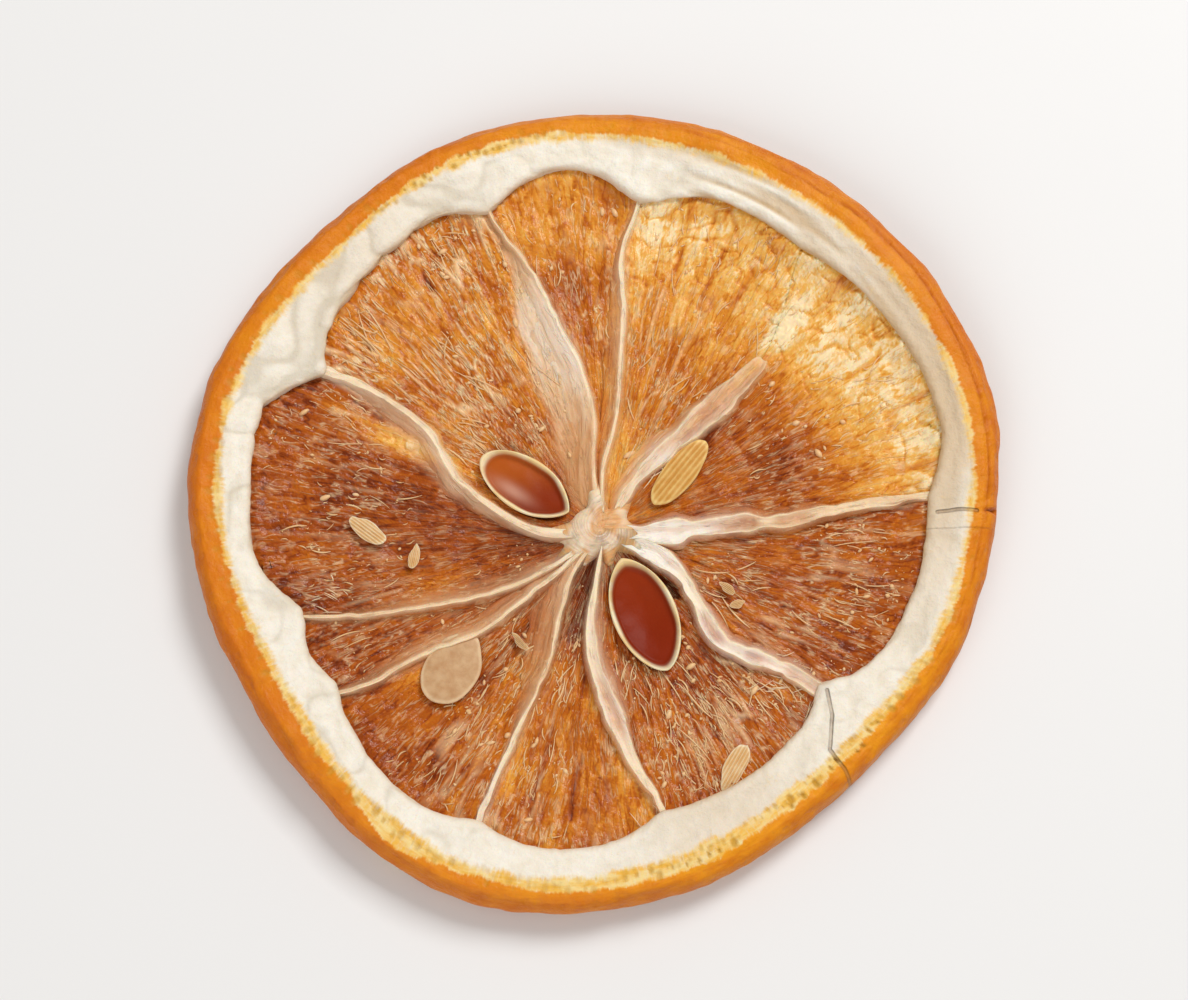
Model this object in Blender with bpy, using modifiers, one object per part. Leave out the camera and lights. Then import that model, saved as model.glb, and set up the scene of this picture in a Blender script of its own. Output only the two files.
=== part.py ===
"""A dried lemon slice with its cut seeds, at its real size in metres, lying flat with the cut face up.

Run it with:  blender --background --python part.py

The slice is one solid: a grid primitive wrapped round the core, so that one direction of the grid runs
round the slice and the other runs from the core over the pulp, up the pith, round the peel and back
underneath. Ten thin membranes run from the core to the pith, and the pulp between them has sunk.
Every place on it is given by a direction from the core and a share of the way to the pith.
"""

import math
from typing import NamedTuple

import bmesh
import bpy
import numpy as np
from mathutils import Matrix

MM = 0.001

# The outline of the peel about the slice's centre.
CUT_RADIUS = 26.3 * MM
# (direction in degrees, how far the outline moves out, half width in degrees), where drying bent it
OUTLINE_DENTS = (
    (314.0, -1.6 * MM, 26.0),
    (252.0, 0.8 * MM, 20.0),
    (210.0, -0.8 * MM, 22.0),
    (136.0, -0.7 * MM, 18.0),
    (352.0, -0.4 * MM, 14.0),
    (16.0, 0.4 * MM, 24.0),
)

# The core, where the membranes meet, lies a little off the centre.
CORE_X = 0.75 * MM
CORE_Y = -2.2 * MM
CORE_TOP = 2.45 * MM
CORE_BOTTOM = 0.4 * MM

# The rind: pith inside, peel outside.
RIM_TOP = 3.2 * MM
PEEL_MIDDLE = 1.35 * MM
PEEL_ROUND = 1.3 * MM
PEEL_ROUND_BELOW = 0.9 * MM
PEEL_DROP = 0.15 * MM
PITH_CORNER = 0.35 * MM
PITH_LIP = 0.65 * MM
PITH_FALL = 1.3 * MM
PITH_BEND = 0.15 * MM
PITH_LIP_BELOW = 0.2 * MM
PITH_WALL = 0.035

# The pulp that sank between the membranes.
PULP_TOP = 1.8 * MM
PULP_BOTTOM = 0.75 * MM
PULP_SAG = 0.25 * MM
PULP_SAG_BELOW = 0.05 * MM
NARROW_CELL = 0.5 * MM
OPEN_CELL = 1.8 * MM

# The membranes: height of their cut edges, how close to the core and the pith these rise, and how much of
# a cell the edges and feet of its two membranes may take.
CREST_TOP = 2.25 * MM
CREST_BOTTOM = 0.45 * MM
CREST_RISE = 8
CREST_MOST = 0.12
FEET_MOST = 0.75
FOOT_LEAST = 1.4
CORNER_HALF = 6.0
# Distances from the core at which a membrane's direction is given, and how far its bends are softened.
PATH_PLACES = (3.0 * MM, 6.0 * MM, 9.0 * MM, 14.0 * MM, 22.0 * MM)
PATH_BLUR = 1.3 * MM


class Membrane(NamedTuple):
    """One membrane and the cell that follows it anticlockwise; lengths in millimetres."""

    path: tuple  # directions in degrees at PATH_PLACES
    half: float  # half the width of its cut edge
    left: float  # reach of its skirt on the anticlockwise side
    right: float  # reach of its skirt on the clockwise side
    corner: float  # depth of its corner in the pith
    rind: float  # width of the rind beside the cell


MEMBRANES = (
    Membrane((-3.5, 1.0, 2.8, 4.5, 5.8), half=0.5, left=0.3, right=0.3, corner=0.7, rind=4.3),
    Membrane((61.0, 54.5, 49.5, 47.5, 55.5), half=0.5, left=0.8, right=0.3, corner=0.4, rind=4.9),
    Membrane((94.0, 85.2, 83.6, 85.0, 83.9), half=0.2, left=0.9, right=0.3, corner=1.9, rind=4.1),
    Membrane((102.0, 94.3, 97.0, 103.0, 109.6), half=0.2, left=3.2, right=0.3, corner=1.6, rind=4.6),
    Membrane((185.0, 169.5, 159.0, 149.0, 150.4), half=0.2, left=2.3, right=0.3, corner=2.6, rind=4.1),
    Membrane((216.0, 213.3, 208.6, 201.5, 194.9), half=0.2, left=0.3, right=1.5, corner=1.5, rind=4.5),
    Membrane((222.5, 220.2, 220.7, 215.2, 210.9), half=0.2, left=0.3, right=1.1, corner=0.9, rind=4.2),
    Membrane((231.0, 245.0, 248.0, 247.0, 247.3), half=0.2, left=0.3, right=1.4, corner=0.9, rind=4.15),
    Membrane((260.5, 263.0, 272.0, 278.0, 281.0), half=0.35, left=0.9, right=0.3, corner=0.9, rind=4.7),
    Membrane((336.0, 327.0, 313.8, 321.5, 323.3), half=0.5, left=0.3, right=0.3, corner=1.6, rind=4.5),
)

# The peel leans out most here, so that its side shows from above.
SLANT_DIRECTION = 28.0
SLANT_MORE = 0.9

# (direction in degrees, height at the peel, sharpness): where the dry slice has curled up
CURLS = (
    (35.0, 1.5 * MM, 4),
    (190.0, 0.6 * MM, 4),
)

# Grid of the slice.
CELL_LINES = (0.0, 0.13, 0.28, 0.43, 0.57, 0.72, 0.87, 1.0)
PULP_STATIONS = (0.0, 0.05, 0.1, 0.17, 0.27, 0.4, 0.55, 0.7, 0.84, 1.0 - PITH_WALL)
PEEL_ANGLES = (90.0, 62.0, 36.0, 10.0, -20.0, -52.0, -90.0)
MERGE = 1e-7

# Seeds: (x, y, turn in degrees, half length, half width)
CUT_SEEDS = {
    "seed_left": (-4.35 * MM, 0.85 * MM, -33.0, 3.35 * MM, 1.75 * MM),
    "seed_right": (3.28 * MM, -7.62 * MM, -68.0, 3.9 * MM, 2.05 * MM),
}
LAID_SEEDS = {
    "seed_flat": (-8.85 * MM, -11.05 * MM, 57.0, 2.5 * MM, 1.75 * MM),
    "seed_side": (5.6 * MM, 1.7 * MM, 51.0, 2.7 * MM, 1.0 * MM),
}
SEED_GAP = 0.3 * MM
SEED_WALL = 0.3 * MM
CUT_SEED_HALF_HEIGHT = 1.15 * MM
CUT_SEED_MIDDLE = 1.5 * MM
CUT_SEED_RIM = 0.75 * MM
LAID_SEED_HALF_HEIGHT = 0.4 * MM
LAID_SEED_RISE = 0.25 * MM
SEED_POINT = 0.3
SEED_SEGMENTS = 22
SEED_RINGS = 10
POCKET_HEIGHT = 12.0 * MM


def wrapped(angle, direction):
    """The angle from a direction to an angle, in degrees, between -180 and 180."""
    return (angle - direction + 180.0) % 360.0 - 180.0


def outline_radius(angle):
    """Distance from the slice's centre to the peel's edge: a circle with a few smooth dents."""
    radius = np.full_like(angle, CUT_RADIUS)
    for direction, depth, half_width in OUTLINE_DENTS:
        radius = radius + depth * np.exp(-((wrapped(angle, direction) / half_width) ** 2))
    return radius


def outline_distance(angle):
    """How far the outline is from the core, found by stepping along each ray."""
    direction = np.radians(angle)
    distance = np.full_like(angle, CUT_RADIUS)
    for _ in range(12):
        x = CORE_X + distance * np.cos(direction)
        y = CORE_Y + distance * np.sin(direction)
        distance = distance + outline_radius(np.degrees(np.arctan2(y, x))) - np.hypot(x, y)
    return distance


def rind_width(angle):
    """Width of pith and peel: blended from cell to cell, with a corner at the end of each membrane."""
    starts = np.array([row.path[-1] for row in MEMBRANES])
    middles = (starts + np.append(starts[1:], starts[0] + 360.0)) / 2.0
    widths = np.array([row.rind for row in MEMBRANES])
    order = np.argsort(middles % 360.0)
    width = np.interp(angle % 360.0, middles[order] % 360.0, widths[order], period=360.0)
    for row in MEMBRANES:
        corner = np.abs(wrapped(angle, row.path[-1])) / CORNER_HALF
        width = width + row.corner * np.exp(-(corner**1.5))
    return width * MM


def pith_distance(angle):
    """Distance from the core to the pith's inner edge."""
    return outline_distance(angle) - rind_width(angle)


def smooth_step(low, high, value):
    share = np.clip((value - low) / (high - low), 0.0, 1.0)
    return share * share * (3.0 - 2.0 * share)


def membrane_angle(index, share):
    """Direction of a membrane at a share of the way from the core to the pith, in degrees."""
    path = MEMBRANES[index % len(MEMBRANES)].path
    place = share * pith_distance(np.array([path[-1]]))[0]
    around = place + np.linspace(-PATH_BLUR, PATH_BLUR, 7)
    return np.interp(around, PATH_PLACES, path).mean() + 360.0 * (index // len(MEMBRANES))


def cell_sides(index, share):
    """Directions in degrees of the crest edge and foot that start cell index, and of those that end it."""
    first, last = MEMBRANES[index], MEMBRANES[(index + 1) % len(MEMBRANES)]
    start, end = membrane_angle(index, share), membrane_angle(index + 1, share)
    arm = max(share, 0.02) * CUT_RADIUS / MM
    swell = math.sin(math.pi * share)
    most = CREST_MOST * (end - start)
    crest = min(math.degrees(first.half / arm), most)
    next_crest = min(math.degrees(last.half / arm), most)
    foot = math.degrees((first.half + first.left * swell) / arm)
    next_foot = math.degrees((last.half + last.right * swell) / arm)
    fit = min(1.0, FEET_MOST * (end - start) / (foot + next_foot))
    foot = max(foot * fit, FOOT_LEAST * crest)
    next_foot = max(next_foot * fit, FOOT_LEAST * next_crest)
    return start + crest, start + foot, end - next_foot, end - next_crest


def openness(index, share):
    """How far a cell has opened at a share of the way out: 0 at its tip beside the core, 1 where wide."""
    _, left, right, _ = cell_sides(index, share)
    width = math.radians(right - left) * share * CUT_RADIUS
    return float(smooth_step(NARROW_CELL, OPEN_CELL, width))


def curl_height(x, y):
    """How far the dried slice lifts off the table at a point: most at the peel, nothing at the centre."""
    around = np.degrees(np.arctan2(y, x))
    reach = (np.hypot(x, y) / CUT_RADIUS) ** 2
    lift = np.zeros_like(reach)
    for direction, height, sharpness in CURLS:
        facing = np.maximum(np.cos(np.radians(wrapped(around, direction))), 0.0)
        lift = lift + height * reach * facing**sharpness
    return lift


def pulp_row(share, upper):
    """One ring of points on the pulp: (directions, heights) at a share of the way to the pith."""
    angles, heights = [], []
    crest = CREST_TOP if upper else CREST_BOTTOM
    core = CORE_TOP if upper else CORE_BOTTOM
    pulp = PULP_TOP if upper else PULP_BOTTOM
    rim = RIM_TOP if upper else 0.0
    ridge = crest + (core - crest) * (1.0 - share) ** CREST_RISE + (rim - crest) / 2.0 * share**CREST_RISE
    sag = (-PULP_SAG if upper else PULP_SAG_BELOW) * math.sin(math.pi * share)
    for index in range(len(MEMBRANES)):
        crest_left, left, right, crest_right = cell_sides(index, share)
        sunk = openness(index, share)
        angles.append(crest_left)
        heights.append(ridge)
        for across in CELL_LINES:
            floor = pulp + sag * (1.0 - (2.0 * across - 1.0) ** 2)
            angles.append(left + (right - left) * across)
            heights.append(ridge + (floor - ridge) * sunk)
        angles.append(crest_right)
        heights.append(ridge)
    return np.array(angles), np.array(heights)


def rind_rows(angles):
    """Rings of points from the pith's inner edge over the top, round the peel and back underneath."""
    pith = pith_distance(angles)
    peel = outline_distance(angles)
    facing = np.maximum(np.cos(np.radians(wrapped(angles, SLANT_DIRECTION))), 0.0)
    top_round = PEEL_ROUND * (1.0 + SLANT_MORE * facing**3)
    rows = [
        (pith, np.full_like(angles, RIM_TOP - PITH_LIP)),
        (pith + PITH_FALL / 2.0, np.full_like(angles, RIM_TOP - PITH_BEND)),
        (pith + PITH_FALL, np.full_like(angles, RIM_TOP)),
    ]
    for degrees in PEEL_ANGLES:
        turn = math.radians(degrees)
        if degrees > 0:
            inset = top_round * (1.0 - math.cos(turn))
            height = PEEL_MIDDLE + (RIM_TOP - PEEL_DROP - PEEL_MIDDLE) * math.sin(turn)
        else:
            inset = PEEL_ROUND_BELOW * (1.0 - math.cos(turn))
            height = PEEL_MIDDLE * (1.0 + math.sin(turn))
        rows.append((peel - inset, np.full_like(angles, height)))
    rows.append((pith + PITH_CORNER, np.zeros_like(angles)))
    rows.append((pith, np.full_like(angles, PITH_LIP_BELOW)))
    return rows


def slice_rings():
    """All rings of the slice, from the core's top to its underside, as (directions, distances, heights)."""
    rings = []
    for share in PULP_STATIONS:
        angles, heights = pulp_row(share, True)
        rings.append((angles, share * pith_distance(angles), heights))
    edge_angles, _ = pulp_row(1.0, True)
    for distance, heights in rind_rows(edge_angles):
        rings.append((edge_angles, distance, heights))
    for share in reversed(PULP_STATIONS):
        angles, heights = pulp_row(share, False)
        rings.append((angles, share * pith_distance(angles), heights))
    return rings


def ring_points(angles, distances, heights):
    """Places of a ring's points, with the curl added."""
    direction = np.radians(angles)
    x = CORE_X + distances * np.cos(direction)
    y = CORE_Y + distances * np.sin(direction)
    return np.stack([x, y, heights + curl_height(x, y)], axis=-1)


def centre_shift(points):
    """The move that brings the middle of the slice's box to the origin and its underside to z = 0."""
    low = points.reshape(-1, 3).min(axis=0)
    high = points.reshape(-1, 3).max(axis=0)
    return np.array([-(low[0] + high[0]) / 2.0, -(low[1] + high[1]) / 2.0, -low[2]])


def material(name, colour, roughness):
    """A plain Principled finish."""
    made = bpy.data.materials.new(name)
    made.use_nodes = True
    shader = made.node_tree.nodes["Principled BSDF"]
    shader.inputs["Base Color"].default_value = (*colour, 1.0)
    shader.inputs["Roughness"].default_value = roughness
    shader.inputs["Metallic"].default_value = 0.0
    return made


def add_object(name, mesh, collection, finish=None):
    """Puts a bmesh into a named object of a collection."""
    data = bpy.data.meshes.new(name)
    mesh.to_mesh(data)
    mesh.free()
    if finish:
        data.materials.append(finish)
    made = bpy.data.objects.new(name, data)
    collection.objects.link(made)
    return made


def wrap_grid(points):
    """A grid primitive whose points are moved to points[ring, line], with its seam and poles merged."""
    rings, lines = points.shape[:2]
    mesh = bmesh.new()
    bmesh.ops.create_grid(mesh, x_segments=lines, y_segments=rings - 1, size=0.5)
    for vertex in mesh.verts:
        line = round((vertex.co.x + 0.5) * lines) % lines
        ring = round((vertex.co.y + 0.5) * (rings - 1))
        vertex.co = points[ring, line]
    bmesh.ops.remove_doubles(mesh, verts=mesh.verts, dist=MERGE)
    bmesh.ops.triangulate(mesh, faces=mesh.faces)
    bmesh.ops.recalc_face_normals(mesh, faces=mesh.faces)
    return mesh


def seed_shape(mesh, half_length, half_width, half_height):
    """Turns a unit ball or cylinder into a seed: long along X and narrower towards its +X tip."""
    for vertex in mesh.verts:
        x, y, z = vertex.co
        narrow = 1.0 - SEED_POINT * max(x, 0.0) ** 2
        vertex.co = (x * half_length, y * half_width * narrow, z * half_height)


def seed_pocket(name, seed, bottom, collection):
    """The cutter that leaves a gap round a seed, from a height upwards."""
    x, y, turn, half_length, half_width = seed
    mesh = bmesh.new()
    bmesh.ops.create_cone(
        mesh, cap_ends=True, segments=SEED_SEGMENTS, radius1=1.0, radius2=1.0, depth=1.0
    )
    seed_shape(mesh, half_length + SEED_GAP, half_width + SEED_GAP, POCKET_HEIGHT)
    made = add_object(name + "_pocket", mesh, collection)
    made.matrix_world = Matrix.Translation((x, y, bottom + POCKET_HEIGHT / 2.0)) @ Matrix.Rotation(
        math.radians(turn), 4, "Z"
    )
    made.hide_render = True
    made.display_type = "WIRE"
    return made


def seed_ball(half_length, half_width, half_height):
    """A whole seed as a ball primitive brought to shape."""
    mesh = bmesh.new()
    bmesh.ops.create_uvsphere(mesh, u_segments=SEED_SEGMENTS, v_segments=SEED_RINGS, radius=1.0)
    seed_shape(mesh, half_length, half_width, half_height)
    return mesh


def cut_seed(name, seed, height, collection, finish):
    """A seed that the knife opened: a thin-walled cup, empty inside."""
    x, y, turn, half_length, half_width = seed
    mesh = seed_ball(half_length, half_width, CUT_SEED_HALF_HEIGHT)
    bmesh.ops.bisect_plane(
        mesh,
        geom=mesh.verts[:] + mesh.edges[:] + mesh.faces[:],
        plane_co=(0.0, 0.0, CUT_SEED_RIM),
        plane_no=(0.0, 0.0, 1.0),
        clear_outer=True,
    )
    made = add_object(name, mesh, collection, finish)
    made.location = (x, y, height)
    made.rotation_euler.z = math.radians(turn)
    wall = made.modifiers.new("wall", "SOLIDIFY")
    wall.thickness = SEED_WALL
    wall.offset = -1.0
    return made


def laid_seed(name, seed, height, collection, finish):
    """A flat seed that lies in the pulp."""
    x, y, turn, half_length, half_width = seed
    mesh = seed_ball(half_length, half_width, LAID_SEED_HALF_HEIGHT)
    made = add_object(name, mesh, collection, finish)
    made.location = (x, y, height)
    made.rotation_euler.z = math.radians(turn)
    return made


def pulp_height(x, y):
    """Height of the sunk pulp under a seed, curl included."""
    return PULP_TOP - PULP_SAG / 2.0 + float(curl_height(np.array(x), np.array(y)))


def main():
    for old in list(bpy.data.objects):
        bpy.data.objects.remove(old, do_unlink=True)
    parts = bpy.data.collections.new("dried_lemon_slice")
    cutters = bpy.data.collections.new("cutters")
    bpy.context.scene.collection.children.link(parts)
    bpy.context.scene.collection.children.link(cutters)
    flesh = material("dried_fruit", (0.56, 0.24, 0.06), 0.45)
    coat = material("seed_coat", (0.75, 0.52, 0.28), 0.5)

    points = np.array([ring_points(*ring) for ring in slice_rings()])
    shift = centre_shift(points)
    body = add_object("slice", wrap_grid(points + shift), parts, flesh)

    def moved(seed):
        return (seed[0] + shift[0], seed[1] + shift[1], *seed[2:])

    for name, seed in CUT_SEEDS.items():
        height = shift[2] + CUT_SEED_MIDDLE + float(curl_height(np.array(seed[0]), np.array(seed[1])))
        cut_seed(name, moved(seed), height, parts, coat)
        seed_pocket(name, moved(seed), -POCKET_HEIGHT / 2.0, cutters)
    for name, seed in LAID_SEEDS.items():
        height = shift[2] + pulp_height(seed[0], seed[1]) + LAID_SEED_RISE
        laid_seed(name, moved(seed), height, parts, coat)
        seed_pocket(name, moved(seed), height - LAID_SEED_HALF_HEIGHT - SEED_GAP, cutters)

    cut = body.modifiers.new("pockets", "BOOLEAN")
    cut.operation = "DIFFERENCE"
    cut.solver = "EXACT"
    cut.operand_type = "COLLECTION"
    cut.collection = cutters


if __name__ == "__main__":
    main()
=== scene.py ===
"""Looks of a dried lemon slice, laid out as an add-on and run as a script.

The slice's fine surface stands for its plain solid: a rind of peel, oil glands and spongy pith, ten panels
of shrunken pulp, ten membranes, the core, four seeds, loose flakes and fibres. Everything round the slice is
worked out from its core: a direction in degrees and a share of the way from the core to the pith.
"""

import math
from typing import NamedTuple

import bpy
import numpy as np
from bpy.props import FloatProperty, FloatVectorProperty, IntProperty, PointerProperty
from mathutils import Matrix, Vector


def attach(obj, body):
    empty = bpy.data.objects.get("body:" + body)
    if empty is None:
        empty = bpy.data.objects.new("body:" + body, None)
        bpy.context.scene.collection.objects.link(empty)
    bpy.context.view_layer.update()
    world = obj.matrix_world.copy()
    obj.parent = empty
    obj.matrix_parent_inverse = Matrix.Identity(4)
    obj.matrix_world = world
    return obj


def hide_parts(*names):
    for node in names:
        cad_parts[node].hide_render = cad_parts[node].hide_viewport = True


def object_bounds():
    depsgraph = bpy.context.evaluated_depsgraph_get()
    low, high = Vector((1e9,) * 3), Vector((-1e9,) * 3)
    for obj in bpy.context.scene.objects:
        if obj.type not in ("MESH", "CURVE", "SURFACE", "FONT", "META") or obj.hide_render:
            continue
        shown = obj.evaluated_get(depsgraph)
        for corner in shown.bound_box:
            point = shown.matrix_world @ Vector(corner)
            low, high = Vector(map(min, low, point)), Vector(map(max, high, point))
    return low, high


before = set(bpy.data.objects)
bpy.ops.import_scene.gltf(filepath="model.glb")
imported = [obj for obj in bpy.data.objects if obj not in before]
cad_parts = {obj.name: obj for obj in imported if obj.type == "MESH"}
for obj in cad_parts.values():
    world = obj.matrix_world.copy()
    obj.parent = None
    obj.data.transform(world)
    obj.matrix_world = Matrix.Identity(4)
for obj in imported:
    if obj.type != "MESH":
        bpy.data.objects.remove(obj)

bl_info = {
    "name": "Dried Lemon Slice",
    "version": (1, 0, 0),
    "blender": (4, 5, 0),
    "location": "3D View > Sidebar > Lemon",
    "description": "Builds the peel, pith, pulp, membranes and seeds of a dried lemon slice",
    "category": "Object",
}

MM = 0.001
CAD_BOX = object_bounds()
BODY = "root"

# Outline, core and membranes, as in the slice's solid.
CUT_RADIUS = 26.3 * MM
# (direction in degrees, how far the outline moves out, half width in degrees)
OUTLINE_DENTS = (
    (314.0, -1.6 * MM, 26.0),
    (252.0, 0.8 * MM, 20.0),
    (210.0, -0.8 * MM, 22.0),
    (136.0, -0.7 * MM, 18.0),
    (352.0, -0.4 * MM, 14.0),
    (16.0, 0.4 * MM, 24.0),
)
CORE_X = 0.75 * MM
CORE_Y = -2.2 * MM
CORNER_HALF = 6.0
# Places along a membrane, from the core, at which its direction and the width of its cut edge are given.
PATH_PLACES = (3.0 * MM, 6.0 * MM, 9.0 * MM, 12.0 * MM, 15.0 * MM, 18.0 * MM, 22.0 * MM)
BAND_PLACES = (3.0 * MM, 6.0 * MM, 11.0 * MM, 16.0 * MM, 20.0 * MM)
PATH_BLUR = 1.3 * MM


class Membrane(NamedTuple):
    """One membrane: where it runs, how wide it is and what shows of it."""

    path: tuple  # directions in degrees at PATH_PLACES; the last is where it meets the pith
    corner: float  # depth of its corner in the pith
    band: tuple  # widths of its cut edge at BAND_PLACES
    tone: tuple  # how pale it is there: 0 is brown, 1 is white
    left: tuple = (0.15 * MM, 10.0 * MM, 8.0 * MM, 0.4, 0.0)  # film anticlockwise of it, as film() gives
    right: tuple = (0.15 * MM, 10.0 * MM, 8.0 * MM, 0.4, 0.0)  # the same on its clockwise side
    end: float = 40.0 * MM  # where it fades out short of the pith


def film(width, place, spread, cover, crisp=0.0):
    """Greatest width, its distance from the core, how far it spreads, how far it hides the pulp and how
    crisp its edge is."""
    return width * MM, place * MM, spread * MM, cover, crisp


def band(*widths):
    """Widths given in millimetres, in metres."""
    return tuple(width * MM for width in widths)


MEMBRANES = (
    Membrane((-3.5, 1.0, 2.8, 3.2, 5.0, 6.2, 5.8), 0.7 * MM, band(1.1, 1.4, 0.8, 0.6, 0.6),
             (1.0, 0.95, 0.5, 0.5, 0.5), film(0.6, 9.0, 6.0, 0.35)),
    Membrane((61.0, 54.5, 49.5, 48.0, 47.8, 51.0, 55.5), 0.4 * MM, band(0.6, 0.95, 1.5, 1.0, 0.3),
             (0.7, 0.85, 0.62, 0.5, 0.5), film(0.8, 6.0, 4.0, 0.6), end=15.4 * MM),
    Membrane((94.0, 85.2, 83.6, 85.0, 85.0, 86.8, 83.9), 1.9 * MM, band(0.3, 0.25, 0.24, 0.4, 0.3),
             (0.6, 0.55, 0.5, 0.75, 0.7), film(0.85, 11.0, 7.0, 0.4)),
    Membrane((102.0, 94.3, 97.0, 100.5, 104.0, 106.0, 109.6), 1.6 * MM, band(0.3, 0.25, 0.25, 0.25, 0.22),
             (0.36, 0.4, 0.82, 0.82, 0.45), film(2.9, 9.5, 7.5, 1.0, 0.85)),
    Membrane((185.0, 169.5, 159.0, 151.5, 148.4, 148.2, 150.4), 2.6 * MM, band(0.7, 0.5, 0.42, 0.46, 0.6),
             (0.75, 0.7, 0.66, 0.6, 0.8), film(1.0, 13.0, 6.0, 0.7)),
    Membrane((216.0, 213.3, 208.6, 204.0, 200.8, 198.0, 194.9), 1.5 * MM, band(0.4, 0.28, 0.24, 0.24, 0.3),
             (0.75, 0.5, 0.42, 0.42, 0.55), right=film(1.1, 9.5, 6.0, 0.45)),
    Membrane((222.5, 220.2, 220.7, 216.5, 214.8, 213.5, 210.9), 0.9 * MM, band(0.35, 0.3, 0.26, 0.24, 0.3),
             (0.7, 0.55, 0.5, 0.5, 0.55), right=film(1.0, 11.0, 6.5, 0.6)),
    Membrane((231.0, 245.0, 248.0, 247.5, 246.9, 247.0, 247.3), 0.9 * MM, band(0.3, 0.25, 0.24, 0.36, 0.55),
             (0.6, 0.42, 0.36, 0.8, 0.9), right=film(1.8, 7.5, 4.5, 0.6)),
    Membrane((260.5, 261.0, 269.5, 274.0, 277.5, 281.6, 281.0), 0.9 * MM, band(0.35, 0.55, 1.0, 0.6, 0.45),
             (0.75, 0.78, 0.84, 0.75, 0.7), film(0.7, 8.5, 4.0, 0.4)),
    Membrane((336.0, 327.0, 313.8, 318.6, 322.4, 323.3, 323.3), 1.6 * MM, band(1.3, 0.6, 1.0, 0.75, 0.7),
             (1.0, 0.95, 1.0, 0.8, 0.85), film(0.5, 12.0, 6.0, 0.4)),
)
CELLS = len(MEMBRANES)
# One row for the cell that follows each membrane: widths of the rind in the first, middle and last third;
# gold of the pulp near the core, halfway and at the pith; how fibrous it is
CELL_ROWS = (
    # The first cell's gold at the pith partly paints the glow of light through its lifted, thin pulp.
    (3.9 * MM, 4.25 * MM, 4.6 * MM, 0.42, 0.36, 0.98, 0.3),
    (4.9 * MM, 4.9 * MM, 4.9 * MM, 0.63, 0.58, 0.95, 0.6),
    (4.2 * MM, 4.0 * MM, 4.2 * MM, 0.52, 0.50, 0.62, 0.4),
    (4.4 * MM, 4.6 * MM, 4.9 * MM, 0.39, 0.57, 0.6, 1.0),
    (3.9 * MM, 4.4 * MM, 4.0 * MM, 0.20, 0.22, 0.28, 0.35),
    (4.5 * MM, 4.5 * MM, 4.5 * MM, 0.34, 0.34, 0.32, 0.35),
    (4.4 * MM, 4.2 * MM, 4.2 * MM, 0.34, 0.35, 0.40, 0.5),
    (4.2 * MM, 4.1 * MM, 4.2 * MM, 0.20, 0.46, 0.56, 0.5),
    (4.9 * MM, 4.7 * MM, 4.6 * MM, 0.28, 0.32, 0.4, 0.7),
    (4.4 * MM, 4.5 * MM, 4.5 * MM, 0.42, 0.4, 0.3, 0.6),
)
# Where the pulp's colour departs from its cell's: (direction, distance from the core, half width in
# degrees, half length, change of gold)
PATCHES = (
    (97.0, 17.3 * MM, 6.0, 1.8 * MM, -0.16),
    # The next two lighten the lifted pulp towards the upper right as painted glow of light through it.
    (38.0, 17.5 * MM, 12.0, 3.2 * MM, 0.3),
    (48.5, 17.6 * MM, 3.0, 1.7 * MM, 0.45),
    (14.0, 9.0 * MM, 10.0, 4.0 * MM, -0.12),
    (75.0, 5.0 * MM, 12.0, 1.4 * MM, 0.12),
    (196.0, 10.0 * MM, 7.0, 4.0 * MM, 0.2),
    (241.0, 12.0 * MM, 6.0, 4.0 * MM, 0.14),
    (229.0, 10.0 * MM, 4.0, 2.5 * MM, -0.12),
    (254.0, 5.0 * MM, 8.0, 3.0 * MM, -0.26),
    (89.0, 9.5 * MM, 5.0, 3.5 * MM, 0.14),
    (356.0, 17.0 * MM, 6.0, 3.0 * MM, 0.06),
    (155.5, 14.0 * MM, 3.0, 4.5 * MM, 0.68),
    (218.0, 14.0 * MM, 3.0, 3.0 * MM, 0.12),
)
# Folds in the pulp, sunk and painted darker as shade: (direction, distance where it starts and ends)
SEAMS = (
    (60.5, 16.5 * MM, 21.5 * MM),
    (67.5, 15.0 * MM, 21.0 * MM),
    (75.0, 17.0 * MM, 20.0 * MM),
    (33.0, 18.0 * MM, 21.5 * MM),
    (124.0, 19.0 * MM, 21.5 * MM),
    (264.0, 14.0 * MM, 19.0 * MM),
    (256.0, 12.0 * MM, 19.5 * MM),
)
# Small holes beside the core: (direction, distance from the core, half width in degrees, half length)
HOLES = (
    (254.0, 2.9 * MM, 9.0, 1.2 * MM),
    (319.0, 5.4 * MM, 4.0, 1.0 * MM),
)
# (direction in degrees, height at the peel, sharpness): where the dry slice has curled up
CURLS = (
    (35.0, 1.5 * MM, 4),
    (190.0, 0.6 * MM, 4),
)
# (direction in degrees, how much wider the peel's band is, half width in degrees)
BAND_SWELLS = (
    (205.0, 0.75 * MM, 50.0),
    (130.0, 0.35 * MM, 30.0),
    (48.0, 0.7 * MM, 42.0),
    (300.0, 0.35 * MM, 35.0),
)
# How plainly the oil glands show: (direction, strength, half width in degrees)
GLAND_SHOWS = (
    (222.0, 0.6, 34.0),
    (305.0, 1.0, 38.0),
    (112.0, 1.0, 18.0),
    (160.0, 0.35, 20.0),
)
NOTCH_DIRECTION = 2.6
SLANT_DIRECTION = 28.0
SLANT_MORE = 0.9
PITH_LIP = 0.6 * MM
PITH_FALL = 1.3 * MM
PALE_WIDTH = 0.7 * MM
# The core's arms: (direction, how much farther it reaches there)
CORE_ARMS = ((-6.0, 1.2 * MM), (48.0, 1.2 * MM), (97.0, 2.3 * MM), (184.0, 1.7 * MM), (219.0, 2.2 * MM),
             (243.0, 1.0 * MM), (284.0, 0.9 * MM), (332.0, 1.5 * MM))
ARM_HALF = 13.0
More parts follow.
